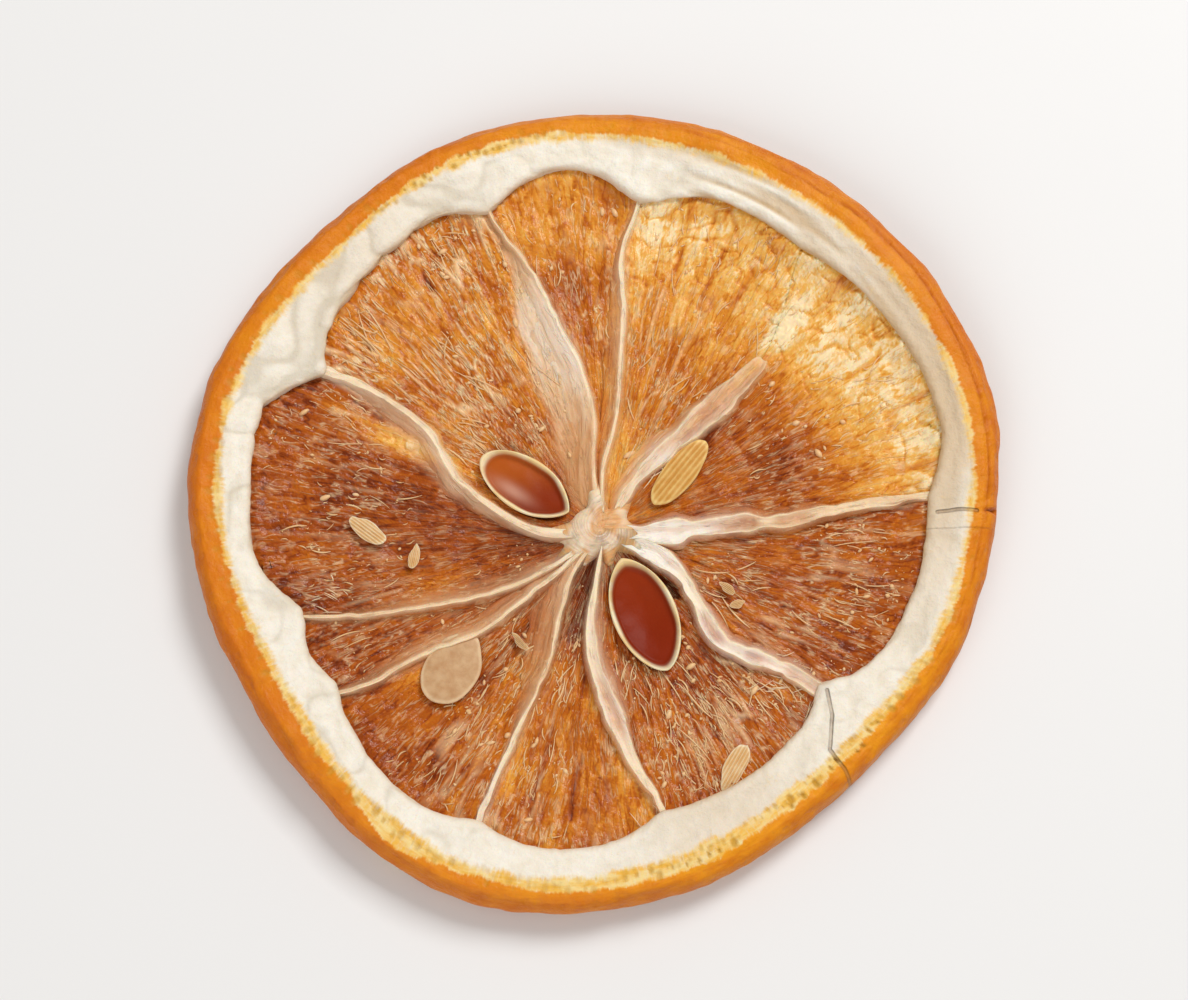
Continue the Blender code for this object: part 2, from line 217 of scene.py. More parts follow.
# Tufts of loose fibres: (direction, distance from the core, which way they point, how many)
TUFTS = (
    (320.5, 14.5 * MM, 15.0, 30),
    (321.5, 18.0 * MM, 60.0, 30),
    (281.0, 18.8 * MM, 110.0, 12),
    (247.0, 19.5 * MM, 60.0, 10),
    (195.0, 18.4 * MM, 150.0, 12),
    (50.0, 6.0 * MM, 50.0, 16),
)
PITH_WALL_HOLLOW = 0.12 * MM
BOTTOM_BAND = 1.7 * MM
SECTION_POINTS = {"pith": 26, "band": 8, "shoulder": 16, "heel": 9, "under": 14, "wall": 6}
RIND_LINES = 1240
GLANDS = 172

# (x, y, turn in degrees, half length, half width) about the slice's centre
CUT_SEEDS = {
    "seed_left": (-4.35 * MM, 0.85 * MM, -33.0, 3.35 * MM, 1.75 * MM),
    "seed_right": (3.28 * MM, -7.62 * MM, -68.0, 3.9 * MM, 2.05 * MM),
}
LAID_SEEDS = {
    "seed_flat": (-8.85 * MM, -11.05 * MM, 57.0, 2.5 * MM, 1.75 * MM),
    "seed_side": (5.6 * MM, 1.7 * MM, 51.0, 2.7 * MM, 1.0 * MM),
}
# Loose bits on the pulp: (x, y, turn in degrees, half length, half width)
FLAKES = (
    (8.95 * MM, -17.3 * MM, 60.0, 1.6 * MM, 0.65 * MM),
    (-14.4 * MM, -2.2 * MM, -37.0, 1.5 * MM, 0.6 * MM),
    (-11.4 * MM, -3.9 * MM, 80.0, 0.85 * MM, 0.36 * MM),
    (-4.6 * MM, -9.4 * MM, -50.0, 0.8 * MM, 0.24 * MM),
    (8.6 * MM, -5.9 * MM, -35.0, 0.6 * MM, 0.3 * MM),
    (9.2 * MM, -6.9 * MM, 20.0, 0.5 * MM, 0.28 * MM),
)


# Height of a cut seed's lowest point, where the slice has not curled up.
CUT_SEED_BASE = 0.85 * MM

# The stage: half the floor's width; each light's name, place, size and power; the camera's height above the
# floor in degrees, its distance and its lens in millimetres.
FLOOR_HALF = 3.0
LIGHTS = (
    ("key", (0.21, 0.28, 0.4), 0.2, 1.95),
    ("fill", (-0.16, -0.36, 0.32), 0.4, 1.0),
)
WORLD_COLOUR = (1.0, 0.98, 0.95, 1.0)
WORLD_STRENGTH = 0.38
CAMERA_TILT = 76.5
CAMERA_DISTANCE = 0.19
CAMERA_LENS = 90.0


def length_property(name, description, default, **limits):
    """A size in metres that a user may change."""
    return FloatProperty(
        name=name, description=description, default=default, unit="LENGTH", subtype="DISTANCE", **limits
    )


def colour_property(name, description, default):
    """A colour that a user may change."""
    return FloatVectorProperty(name=name, description=description, default=default, subtype="COLOR")


class LemonSizes(bpy.types.PropertyGroup):
    """Sizes of the dried slice that a user would change."""

    rim_top: length_property("Rim Height", "Height of the rind's cut face", 3.17 * MM, min=0.0)
    peel_middle: length_property("Peel Middle", "Height where the peel reaches out farthest", 1.35 * MM)
    peel_round: length_property("Peel Rounding", "How far the peel's edges are rounded", 1.3 * MM)
    peel_band: length_property(
        "Peel Band", "Width of the peel seen from above, where it is narrowest", 2.1 * MM
    )
    pulp_top: length_property("Pulp Top", "Height of the shrunken pulp beside the membranes", 1.8 * MM)
    pulp_bottom: length_property("Pulp Bottom", "Height of the pulp's underside", 0.75 * MM)
    pulp_sag: length_property("Pulp Sag", "How far the pulp sinks between two membranes", 0.3 * MM)
    crest_top: length_property("Membrane Top", "Height of the membranes' cut edges", 2.25 * MM)
    crest_bottom: length_property("Membrane Bottom", "Height of the membranes' lower edges", 0.45 * MM)
    vesicle: length_property("Juice Sac", "Spacing of the dried juice sacs", 1.0 * MM)
    grain: length_property("Surface Grain", "Spacing of the points on the fine surfaces", 0.11 * MM)
    fibres: IntProperty(
        name="Fibres", description="Number of bright fibres on the pulp", default=800,
    )
    long_fibres: IntProperty(
        name="Long Fibres", description="Number of long fibres on the pulp", default=320,
    )
    crumbs: IntProperty(name="Crumbs", description="Number of pale crumbs on the pulp", default=800)


class LemonColours(bpy.types.PropertyGroup):
    """Colours of the dried slice."""

    peel: colour_property("Peel", "The peel's main colour", (0.7, 0.19, 0.001))
    # Also used for the painted shade in the peel's crease and notch.
    peel_deep: colour_property("Deep Peel", "The peel in its creases", (0.54, 0.115, 0.001))
    peel_pale: colour_property("Peel Fringe", "The peel where it meets the pith", (0.85, 0.47, 0.07))
    gland: colour_property("Oil Gland", "Inside of the cut oil glands", (0.5, 0.26, 0.02))
    # Also paints light on the peel towards 305 and 75 degrees.
    peel_light: colour_property("Light Peel", "The peel's lighter patches", (0.84, 0.32, 0.004))
    pith: colour_property("Pith", "The dry white pith", (0.84, 0.75, 0.61))
    pith_bright: colour_property("Bright Pith", "The pith's whitest places", (0.92, 0.87, 0.77))
    # Also painted shade: it greys the pith on its right.
    pith_dull: colour_property("Dull Pith", "Pith that dried see-through", (0.62, 0.43, 0.24))
    pulp_deep: colour_property("Deep Pulp", "The darkest dried juice", (0.17, 0.024, 0.002))
    pulp_amber: colour_property("Amber Pulp", "The dried juice's main colour", (0.52, 0.135, 0.007))
    # Its brightest use, in the lifted pulp towards the upper right, is painted glow of light through it.
    pulp_gold: colour_property("Golden Pulp", "Thin pulp that lets light through", (0.84, 0.46, 0.1))
    membrane: colour_property("Membrane", "Cut edges of the membranes", (0.79, 0.54, 0.33))
    film: colour_property("Film", "Sides of the membranes", (0.66, 0.34, 0.15))
    seed_coat: colour_property("Seed Coat", "Rims and skins of the seeds", (0.84, 0.62, 0.3))
    seed_inside: colour_property("Seed Inside", "Deepest colour inside the cut seeds", (0.23, 0.02, 0.003))
    seed_inside_light: colour_property(
        "Light Seed Inside", "Lightest colour inside the cut seeds", (0.43, 0.09, 0.01)
    )
    floor: colour_property("Floor", "The surface under the slice", (0.82, 0.81, 0.8))


# ---------------------------------------------------------------------------------------------------
# Numbers that vary over a surface


def wrapped(angle, direction):
    """The angle from a direction to an angle, in degrees, between -180 and 180."""
    return (angle - direction + 180.0) % 360.0 - 180.0


def bell(angle, direction, half_width):
    """1 in a direction, falling to 1/e at half_width degrees to either side."""
    return np.exp(-((wrapped(angle, direction) / half_width) ** 2))


def smooth_step(low, high, value):
    """0 below low, 1 above high, and a smooth cubic between."""
    share = np.clip((value - low) / (high - low), 0.0, 1.0)
    return share * share * (3.0 - 2.0 * share)


def lattice_random(seed, *cells):
    """A number from 0 to 1 for each whole-number place, always the same one for the same place."""
    mask = np.uint64(0xFFFFFFFF)
    mixed = np.full(cells[0].shape, (seed * 2654435761) & 0xFFFFFFFF, dtype=np.uint64)
    for cell, factor in zip(cells, (73856093, 19349663, 83492791)):
        mixed = (mixed ^ (cell.astype(np.int64).astype(np.uint64) * np.uint64(factor))) & mask
        mixed = ((mixed ^ (mixed >> np.uint64(15))) * np.uint64(2246822519)) & mask
        mixed = ((mixed ^ (mixed >> np.uint64(13))) * np.uint64(3266489917)) & mask
    return (mixed ^ (mixed >> np.uint64(16))).astype(float) / 2.0**32


def smooth_noise(x, y, z, size, seed):
    """From -1 to 1: random numbers at the corners of cubes of this size, blended smoothly between."""
    places = [np.asarray(axis) / size for axis in np.broadcast_arrays(x, y, z)]
    corners = [np.floor(place) for place in places]
    parts = [place - corner for place, corner in zip(places, corners)]
    parts = [part * part * (3.0 - 2.0 * part) for part in parts]
    total = np.zeros(places[0].shape)
    for corner in range(8):
        steps = [(corner >> axis) & 1 for axis in range(3)]
        weight = np.ones(total.shape)
        for part, step in zip(parts, steps):
            weight = weight * (part if step else 1.0 - part)
        total += weight * lattice_random(seed, *[c + s for c, s in zip(corners, steps)])
    return 2.0 * total - 1.0


def layered_noise(x, y, z, size, seed, layers=3):
    """Smooth noise summed over layers, each half as large and half as strong as the last."""
    total, weight, strength = 0.0, 0.0, 1.0
    for layer in range(layers):
        total = total + strength * smooth_noise(x, y, z, size * 0.5**layer, seed + layer)
        weight += strength
        strength *= 0.5
    return total / weight


def ring_noise(angle, across, along_size, across_size, seed):
    """Noise on the ring of the rind, drawn out along it: noise on a cylinder of the ring's girth."""
    turn = np.radians(angle)
    around = CUT_RADIUS / along_size
    return smooth_noise(np.cos(turn) * around, np.sin(turn) * around, across / across_size, 1.0, seed)


def spindle_cells(x, y, spacing, stretch, seed, scatter=0.5, reach=3):
    """Cells drawn out along rays from the core.

    Each place finds the nearest and second nearest of centres scattered one to a square of the given
    spacing, where distance counts stretch times less along the ray than across it. Gives both distances
    and a random number for the nearest centre.
    """
    nearest = np.full(x.shape, 99.0)
    second = nearest.copy()
    own = np.zeros(x.shape)
    column, row = np.floor(x / spacing), np.floor(y / spacing)
    longer = math.sqrt(stretch)
    for step_x in range(-reach, reach + 1):
        for step_y in range(-reach, reach + 1):
            cell_x, cell_y = column + step_x, row + step_y
            centre_x = (cell_x + lattice_random(seed, cell_x, cell_y)) * spacing
            centre_y = (cell_y + lattice_random(seed + 1, cell_x, cell_y)) * spacing
            chance = lattice_random(seed + 2, cell_x, cell_y)
            turn = np.arctan2(centre_y - CORE_Y, centre_x - CORE_X) + (chance - 0.5) * scatter
            along = (x - centre_x) * np.cos(turn) + (y - centre_y) * np.sin(turn)
            across = (y - centre_y) * np.cos(turn) - (x - centre_x) * np.sin(turn)
            distance = np.hypot(along / longer, across * longer) / spacing
            closer = distance < nearest
            second = np.where(closer, nearest, np.minimum(second, distance))
            own = np.where(closer, chance, own)
            nearest = np.where(closer, distance, nearest)
    return nearest, second, own


# ---------------------------------------------------------------------------------------------------
# The slice in polar terms about its core


def outline_radius(angle):
    """Distance from the slice's centre to the peel's edge: a circle with a few smooth dents."""
    radius = np.full_like(angle, CUT_RADIUS)
    for direction, depth, half_width in OUTLINE_DENTS:
        radius = radius + depth * bell(angle, direction, half_width)
    return radius


def outline_table():
    """Distance from the core to the outline in every direction, found by stepping along each ray."""
    angle = np.arange(0.0, 360.0, 0.1)
    distance = np.full_like(angle, CUT_RADIUS)
    turn = np.radians(angle)
    for _ in range(12):
        x = CORE_X + distance * np.cos(turn)
        y = CORE_Y + distance * np.sin(turn)
        distance = distance + outline_radius(np.degrees(np.arctan2(y, x))) - np.hypot(x, y)
    return angle, distance


OUTLINE_ANGLES, OUTLINE_DISTANCES = outline_table()


def outline_distance(angle):
    """Distance from the core to the outline in a direction."""
    return np.interp(angle, OUTLINE_ANGLES, OUTLINE_DISTANCES, period=360.0)


def eased(place, places, values):
    """Straight-line values between given places, averaged a little to either side so that bends are soft."""
    steps = np.linspace(-PATH_BLUR, PATH_BLUR, 7)
    return sum(np.interp(place + step, places, values) for step in steps) / len(steps)


def rind_width(angle):
    """Width of peel and pith: each cell's own three widths, blended, and deeper at each membrane."""
    starts = np.array([row.path[-1] for row in MEMBRANES])
    spans = np.append(starts[1:], starts[0] + 360.0) - starts
    places = (starts[:, None] + spans[:, None] * np.array([0.2, 0.5, 0.8])).ravel() % 360.0
    widths = np.array([row[:3] for row in CELL_ROWS]).ravel()
    order = np.argsort(places)
    width = np.interp(angle, places[order], widths[order], period=360.0)
    for row in MEMBRANES:
        width = width + row.corner * np.exp(-((np.abs(wrapped(angle, row.path[-1])) / CORNER_HALF) ** 1.5))
    return width


def pith_distance(angle):
    """Distance from the core to the pith's inner edge."""
    return outline_distance(angle) - rind_width(angle)


def membrane_angle(index, share):
    """Direction of a membrane at a share of the way from the core to the pith, in degrees."""
    row = MEMBRANES[index % CELLS]
    distance = share * pith_distance(np.array([row.path[-1]]))[0]
    return eased(distance, PATH_PLACES, row.path) + 360.0 * (index // CELLS)


def curl_height(x, y):
    """How far the dried slice lifts off the table: most at the peel, nothing at the centre."""
    around = np.degrees(np.arctan2(y, x))
    reach = (np.hypot(x, y) / CUT_RADIUS) ** 2
    lift = np.zeros_like(reach)
    for direction, height, sharpness in CURLS:
        facing = np.maximum(np.cos(np.radians(wrapped(around, direction))), 0.0)
        lift = lift + height * reach * facing**sharpness
    return lift


def centre_shift():
    """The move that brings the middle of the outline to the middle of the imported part."""
    turn = np.radians(OUTLINE_ANGLES)
    x = CORE_X + OUTLINE_DISTANCES * np.cos(turn)
    y = CORE_Y + OUTLINE_DISTANCES * np.sin(turn)
    low, high = CAD_BOX
    return (
        (low[0] + high[0]) / 2.0 - (x.min() + x.max()) / 2.0,
        (low[1] + high[1]) / 2.0 - (y.min() + y.max()) / 2.0,
    )


SHIFT_X, SHIFT_Y = centre_shift()


def flat_places(angle, distance):
    """Places in plan, about the slice's centre, of points given by direction and distance from the core."""
    turn = np.radians(angle)
    return CORE_X + distance * np.cos(turn), CORE_Y + distance * np.sin(turn)


def curled(x, y, z):
    """Points of the part from places about the slice's centre: curled up, and moved to the part's place."""
    return np.stack([x + SHIFT_X, y + SHIFT_Y, z + curl_height(x, y)], axis=-1)


# ---------------------------------------------------------------------------------------------------
# Meshes from arrays


def wrap_faces(rows, columns, ring):
    """Corner numbers of the quads of a grid whose columns close on themselves, and rows too in a ring."""
    grid = np.arange(rows * columns).reshape(rows, columns)
    beside = np.roll(grid, -1, axis=1)
    if ring:
        quads = np.stack([grid, beside, np.roll(beside, -1, axis=0), np.roll(grid, -1, axis=0)], axis=-1)
    else:
        quads = np.stack([grid[:-1], beside[:-1], beside[1:], grid[1:]], axis=-1)
    return quads.reshape(-1, 4), grid, beside


def closed_surface(points, ring=False):
    """Corners and triangles or quads of a closed surface: a ring, or a tube whose ends meet in poles."""
    rows, columns = points.shape[:2]
    quads, grid, beside = wrap_faces(rows, columns, ring)
    corners = points.reshape(-1, 3)
    triangles = np.zeros((0, 3), dtype=int)
    if not ring:
        first, last = len(corners), len(corners) + 1
        corners = np.concatenate([corners, points[:1].mean(axis=1), points[-1:].mean(axis=1)])
        start = np.stack([np.full(columns, first), beside[0], grid[0]], axis=-1)
        end = np.stack([np.full(columns, last), grid[-1], beside[-1]], axis=-1)
        triangles = np.concatenate([start, end])
    a, b, c, d = (corners[quads[:, side]] for side in range(4))
    volume = np.einsum("ij,ij->", a, np.cross(b, c)) + np.einsum("ij,ij->", a, np.cross(c, d))
    if volume < 0.0:
        quads, triangles = quads[:, ::-1], triangles[:, ::-1]
    return corners, quads, triangles


def with_poles(values, ring=False):
    """A field's values in the order of closed_surface's corners."""
    values = np.asarray(values, dtype=float)
    flat = values.reshape((values.shape[0] * values.shape[1],) + values.shape[2:])
    if ring:
        return flat
    return np.concatenate([flat, values[:1].mean(axis=1), values[-1:].mean(axis=1)])


def mesh_object(name, corners, quads, triangles, fields):
    """A smooth mesh object from arrays, with each field kept as an attribute of its points."""
    mesh = bpy.data.meshes.new(name)
    loops = np.concatenate([quads.ravel(), triangles.ravel()]).astype(np.int32)
    starts = np.concatenate(
        [np.arange(len(quads)) * 4, len(quads) * 4 + np.arange(len(triangles)) * 3]
    ).astype(np.int32)
    mesh.vertices.add(len(corners))
    mesh.vertices.foreach_set("co", corners.astype(np.float32).ravel())
    mesh.loops.add(len(loops))
    mesh.loops.foreach_set("vertex_index", loops)
    mesh.polygons.add(len(starts))
    mesh.polygons.foreach_set("loop_start", starts)
    mesh.update(calc_edges=True)
    for field, values in fields.items():
        vector = values.ndim == 2
        layer = mesh.attributes.new(field, "FLOAT_VECTOR" if vector else "FLOAT", "POINT")
        layer.data.foreach_set("vector" if vector else "value", values.astype(np.float32).ravel())
    mesh.validate()
    mesh.shade_smooth()
    made = bpy.data.objects.new(name, mesh)
    bpy.context.scene.collection.objects.link(made)
    return made


def surface_object(name, points, fields, ring=False):
    """An object from one closed surface."""
    corners, quads, triangles = closed_surface(points, ring)
    fields = {field: with_poles(values, ring) for field, values in fields.items()}
    return mesh_object(name, corners, quads, triangles, fields)


def joined_object(name, surfaces):
    """One object from many closed surfaces, each (points, fields)."""
    corners, quads, triangles, fields, count = [], [], [], {}, 0
    for points, values in surfaces:
        some, fours, threes = closed_surface(points)
        corners.append(some)
        quads.append(fours + count)
        triangles.append(threes + count)
        for field, value in values.items():
            fields.setdefault(field, []).append(with_poles(value))
        count += len(some)
    joined = {field: np.concatenate(values) for field, values in fields.items()}
    return mesh_object(name, *map(np.concatenate, (corners, quads, triangles)), joined)


def scattered_object(name, shape, places, fields):
    """One object of many copies of one small closed shape.

    shape is the small surface about the origin. places holds one matrix of three axes and one origin for
    each copy, and each copy's points are the shape's, turned by its axes and moved to its origin.
    """
    corners, quads, triangles = closed_surface(shape)
    axes, origins = places
    everything = np.einsum("pk,nkj->npj", corners, axes) + origins[:, None, :]
    offsets = (np.arange(len(origins)) * len(corners))[:, None, None]
    copies = {field: np.repeat(values, len(corners)) for field, values in fields.items()}
    return mesh_object(
        name,
        everything.reshape(-1, 3),
        (quads[None] + offsets).reshape(-1, 4),
        (triangles[None] + offsets).reshape(-1, 3),
        copies,
    )


def normals(points, ring):
    """Outward directions of a grid of points, from the cross product of its two slopes."""
    if ring:
        down = np.roll(points, -1, axis=0) - np.roll(points, 1, axis=0)
    else:
        down = np.gradient(points, axis=0)
    side = np.roll(points, -1, axis=1) - np.roll(points, 1, axis=1)
    across = np.cross(down, side)
    return across / np.maximum(np.linalg.norm(across, axis=-1, keepdims=True), 1e-12)


def placed(piece, slot, *nodes):
    """Tells the frame what a finished piece rides on and hides the parts of the solid that it stands for.
    The slot it is given is not used.
    """
    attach(piece, BODY)
    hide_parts(*nodes)
    return piece


# ---------------------------------------------------------------------------------------------------
# Finishes


class Wire:
    """One output socket in a finish. Arithmetic on it adds Math nodes."""

    def __init__(self, finish, socket):
        self.finish = finish
        self.socket = socket

    def math(self, operation, *values):
        return self.finish.node("ShaderNodeMath", {"operation": operation}, values)

    def __add__(self, other):
        return self.math("ADD", self, other)

    def __sub__(self, other):
        return self.math("SUBTRACT", self, other)

    def __rsub__(self, other):
        return self.math("SUBTRACT", other, self)

    def __mul__(self, other):
        return self.math("MULTIPLY", self, other)

    def __truediv__(self, other):
        return self.math("DIVIDE", self, other)

    def __pow__(self, other):
        return self.math("POWER", self, other)

    def __abs__(self):
        return self.math("ABSOLUTE", self)

    __radd__ = __add__
    __rmul__ = __mul__

    def least(self, other):
        return self.math("MINIMUM", self, other)

    def most(self, other):
        return self.math("MAXIMUM", self, other)

    def step(self, low, high):
        """0 below low, 1 above high and smooth between; turned round where low is the larger."""
        settings = {"interpolation_type": "SMOOTHSTEP"}
        if low > high:
            return 1.0 - self.step(high, low)
        return self.finish.node(
            "ShaderNodeMapRange", settings, {"Value": self, "From Min": low, "From Max": high}
        )


class Finish:
    """A material under construction."""

    def __init__(self, name):
        self.material = bpy.data.materials.new(name)
        self.material.use_nodes = True
        self.tree = self.material.node_tree
        self.shader = self.tree.nodes["Principled BSDF"]

    def node(self, kind, settings=None, inputs=(), output=0):
        """Adds a node: its settings first, then its sockets' values or links. Gives one output."""
        made = self.tree.nodes.new(kind)
        for name, value in (settings or {}).items():
            if name == "stops":
                self.set_stops(made.color_ramp, value)
            else:
                setattr(made, name, value)
        pairs = inputs.items() if isinstance(inputs, dict) else enumerate(inputs)
        for name, value in pairs:
            self.plug(made.inputs[name], value)
        return Wire(self, made.outputs[output])

    def plug(self, socket, value):
        if isinstance(value, Wire):
            self.tree.links.new(value.socket, socket)
        elif socket.type == "RGBA":
            socket.default_value = (*tuple(value)[:3], 1.0)
        else:
            socket.default_value = value

    def set_stops(self, ramp, stops):
        while len(ramp.elements) < len(stops):
            ramp.elements.new(0.5)
        for element, (place, colour) in zip(ramp.elements, stops):
            element.position = place
            element.color = (*tuple(colour)[:3], 1.0)

    def field(self, name, output="Fac"):
        """A field that the mesh carries."""
        return self.node("ShaderNodeAttribute", {"attribute_name": name}, output=output)

    def place(self):
        """The point's place on the piece."""
        return self.node("ShaderNodeTexCoord", output="Object")

    def noise(self, where, size, detail=3.0, roughness=0.55, distortion=0.0):
        """Noise from 0 to 1 with features of a size in metres."""
        return self.node(
            "ShaderNodeTexNoise",
            {"noise_dimensions": "3D"},
            {"Vector": where, "Scale": 1.0 / size, "Detail": detail, "Roughness": roughness,
             "Distortion": distortion},
        )

    def cells(self, where, size):
        """Distance to the nearest of places scattered a size apart, in units of that size."""
        return self.node("ShaderNodeTexVoronoi", {"feature": "F1"}, {"Vector": where, "Scale": 1.0 / size})

    def stretched(self, where, scale):
        """A place with each axis multiplied by its own number."""
        return self.node("ShaderNodeVectorMath", {"operation": "MULTIPLY"}, [where, scale])

    def mix(self, factor, first, second, kind="MIX"):
        """The first colour where the factor is 0, the second where it is 1."""
        return self.node(
            "ShaderNodeMix",
            {"data_type": "RGBA", "blend_type": kind, "clamp_factor": True},
            {0: factor, 6: first, 7: second},
            output=2,
        )

    def ramp(self, value, stops):
        """Colours along a ramp from 0 to 1."""
        return self.node("ShaderNodeValToRGB", {"stops": stops}, [value])

    def bump(self, height, distance, strength=1.0):
        """A normal that follows a height from 0 to 1, times a distance in metres."""
        return self.node(
            "ShaderNodeBump", None, {"Height": height, "Distance": distance, "Strength": strength}
        )

    def surface(self, **values):
        """Sets the surface's sockets, named by words with underscores, and gives the material."""
        for name, value in values.items():
            self.plug(self.shader.inputs[name.replace("_", " ").title().replace("Ior", "IOR")], value)
        return self.material


def crack(finish, where, points, width):
    """1 on a thin line through points in plan, 0 off it: the least distance to each straight stretch."""
    nearest = None
    for (x, y), (end_x, end_y) in zip(points, points[1:]):
        start = (x + SHIFT_X, y + SHIFT_Y, 0.0)
        run = (end_x - x, end_y - y, 0.0)
        length = math.hypot(end_x - x, end_y - y)
        flat = finish.stretched(where, (1.0, 1.0, 0.0))
        away = finish.node("ShaderNodeVectorMath", {"operation": "SUBTRACT"}, [flat, start])
        dot = finish.node("ShaderNodeVectorMath", {"operation": "DOT_PRODUCT"}, [away, run], "Value")
        share = (dot / length**2).most(0.0).least(1.0)
        along = finish.node("ShaderNodeVectorMath", {"operation": "SCALE"}, {0: run, "Scale": share})
        gap = finish.node("ShaderNodeVectorMath", {"operation": "DISTANCE"}, [away, along], "Value")
        nearest = gap if nearest is None else nearest.least(gap)
    return nearest.step(width, 0.25 * width)


CRACKS = (
    ((14.7, -12.6), (15.0, -14.2), (14.8, -16.4), (15.7, -17.6), (16.3, -18.8)),
    ((21.9, -1.2), (23.2, -1.05), (24.4, -1.15)),
)


def rind_finish(colours):
    """Waxy orange peel, yellow round its oil glands; chalky pith, dull where it dried see-through.
    Painted shade greys the pith in the creases between its puffs and on its right, and darkens the peel's
    crease and notch and the cracks; painted light brightens the peel towards 305 and 75 degrees.
    """
    finish = Finish("rind")
    place = finish.place()
    orange, yellow, pit = finish.field("orange"), finish.field("yellow"), finish.field("pit")
    side, dull, sunk = finish.field("side"), finish.field("dull"), finish.field("sunk")
    grain = finish.field("grain", "Vector")
    broad = finish.noise(place, 4.0 * MM, 3.0)
    middle = finish.noise(place, 1.1 * MM, 4.0, 0.6)
    drawn = finish.noise(finish.stretched(grain, (0.25, 1.0, 1.0)), 0.5 * MM, 3.0, 0.6)
    fine = finish.noise(place, 0.2 * MM, 3.0, 0.6)

    pith = finish.mix(middle.step(0.3, 0.7), colours.pith, colours.pith_bright)
    # Painted shade: the pith greyed in the creases between its puffs.
    pith = finish.mix(sunk * 0.6, pith, (0.58, 0.5, 0.38))
    # Pith greyed by the dull field: see-through pith, and painted shade on its right.
    pith = finish.mix((dull + (middle - 0.5) * 0.5) * 0.85, pith, colours.pith_dull)
    fringe = finish.mix(drawn.step(0.35, 0.65), colours.peel_pale, (0.88, 0.66, 0.27))
    # Painted light: the peel lightened towards 305 and 75 degrees.
    warm = finish.field("warm")
    peel = finish.mix(broad.step(0.35, 0.7) * 0.45 + warm * 0.7, colours.peel, colours.peel_light)
    # The peel is darker on its rounded side and, as painted shade, in its crease and notch.
    deep = (side * 0.7 + (drawn - 0.45) * 1.2 + (middle - 0.5) * 0.9).most(0.0)
    peel = finish.mix(deep, peel, colours.peel_deep)
    teeth = finish.noise(finish.stretched(grain, (1.0, 0.3, 1.0)), 0.22 * MM, 2.0, 0.5)
    fuzz = (teeth - 0.5) * 1.1 + (fine - 0.5) * 0.5
    colour = finish.mix((yellow * 0.95 + fuzz + (middle - 0.5) * 0.9).step(0.1, 1.0), pith, fringe)
    colour = finish.mix((orange + fuzz * 0.7 + (drawn - 0.5) * 0.4).step(0.25, 0.75), colour, peel)
    oily = finish.mix(middle.step(0.35, 0.65), colours.gland, (0.6, 0.31, 0.03))
    colour = finish.mix(pit * 0.85, colour, oily)
    lines = None
    for points in CRACKS:
        points = [(x * MM, y * MM) for x, y in points]
        line = crack(finish, place, points, 0.16 * MM)
        lines = line if lines is None else lines.most(line)
    lines = lines * (middle * 1.4).least(1.0)
    # Painted shade: the cracks darkened along their lines.
    colour = finish.mix(lines * 0.7, colour, (0.3, 0.17, 0.08))

    dimples = finish.cells(place, 0.75 * MM).step(0.1, 0.5) * side
    height = middle * 0.6 + drawn * 0.3 + fine * 0.4 - lines * 1.5 + dimples * 0.6
    return finish.surface(
        base_color=colour,
        roughness=0.75 - orange * 0.3 + (fine - 0.5) * 0.2,
        specular_ior_level=0.25,
        normal=finish.bump(height, 0.16 * MM),
        subsurface_weight=0.15,
        subsurface_radius=(1.0, 0.6, 0.3),
        subsurface_scale=0.3 * MM,
    )


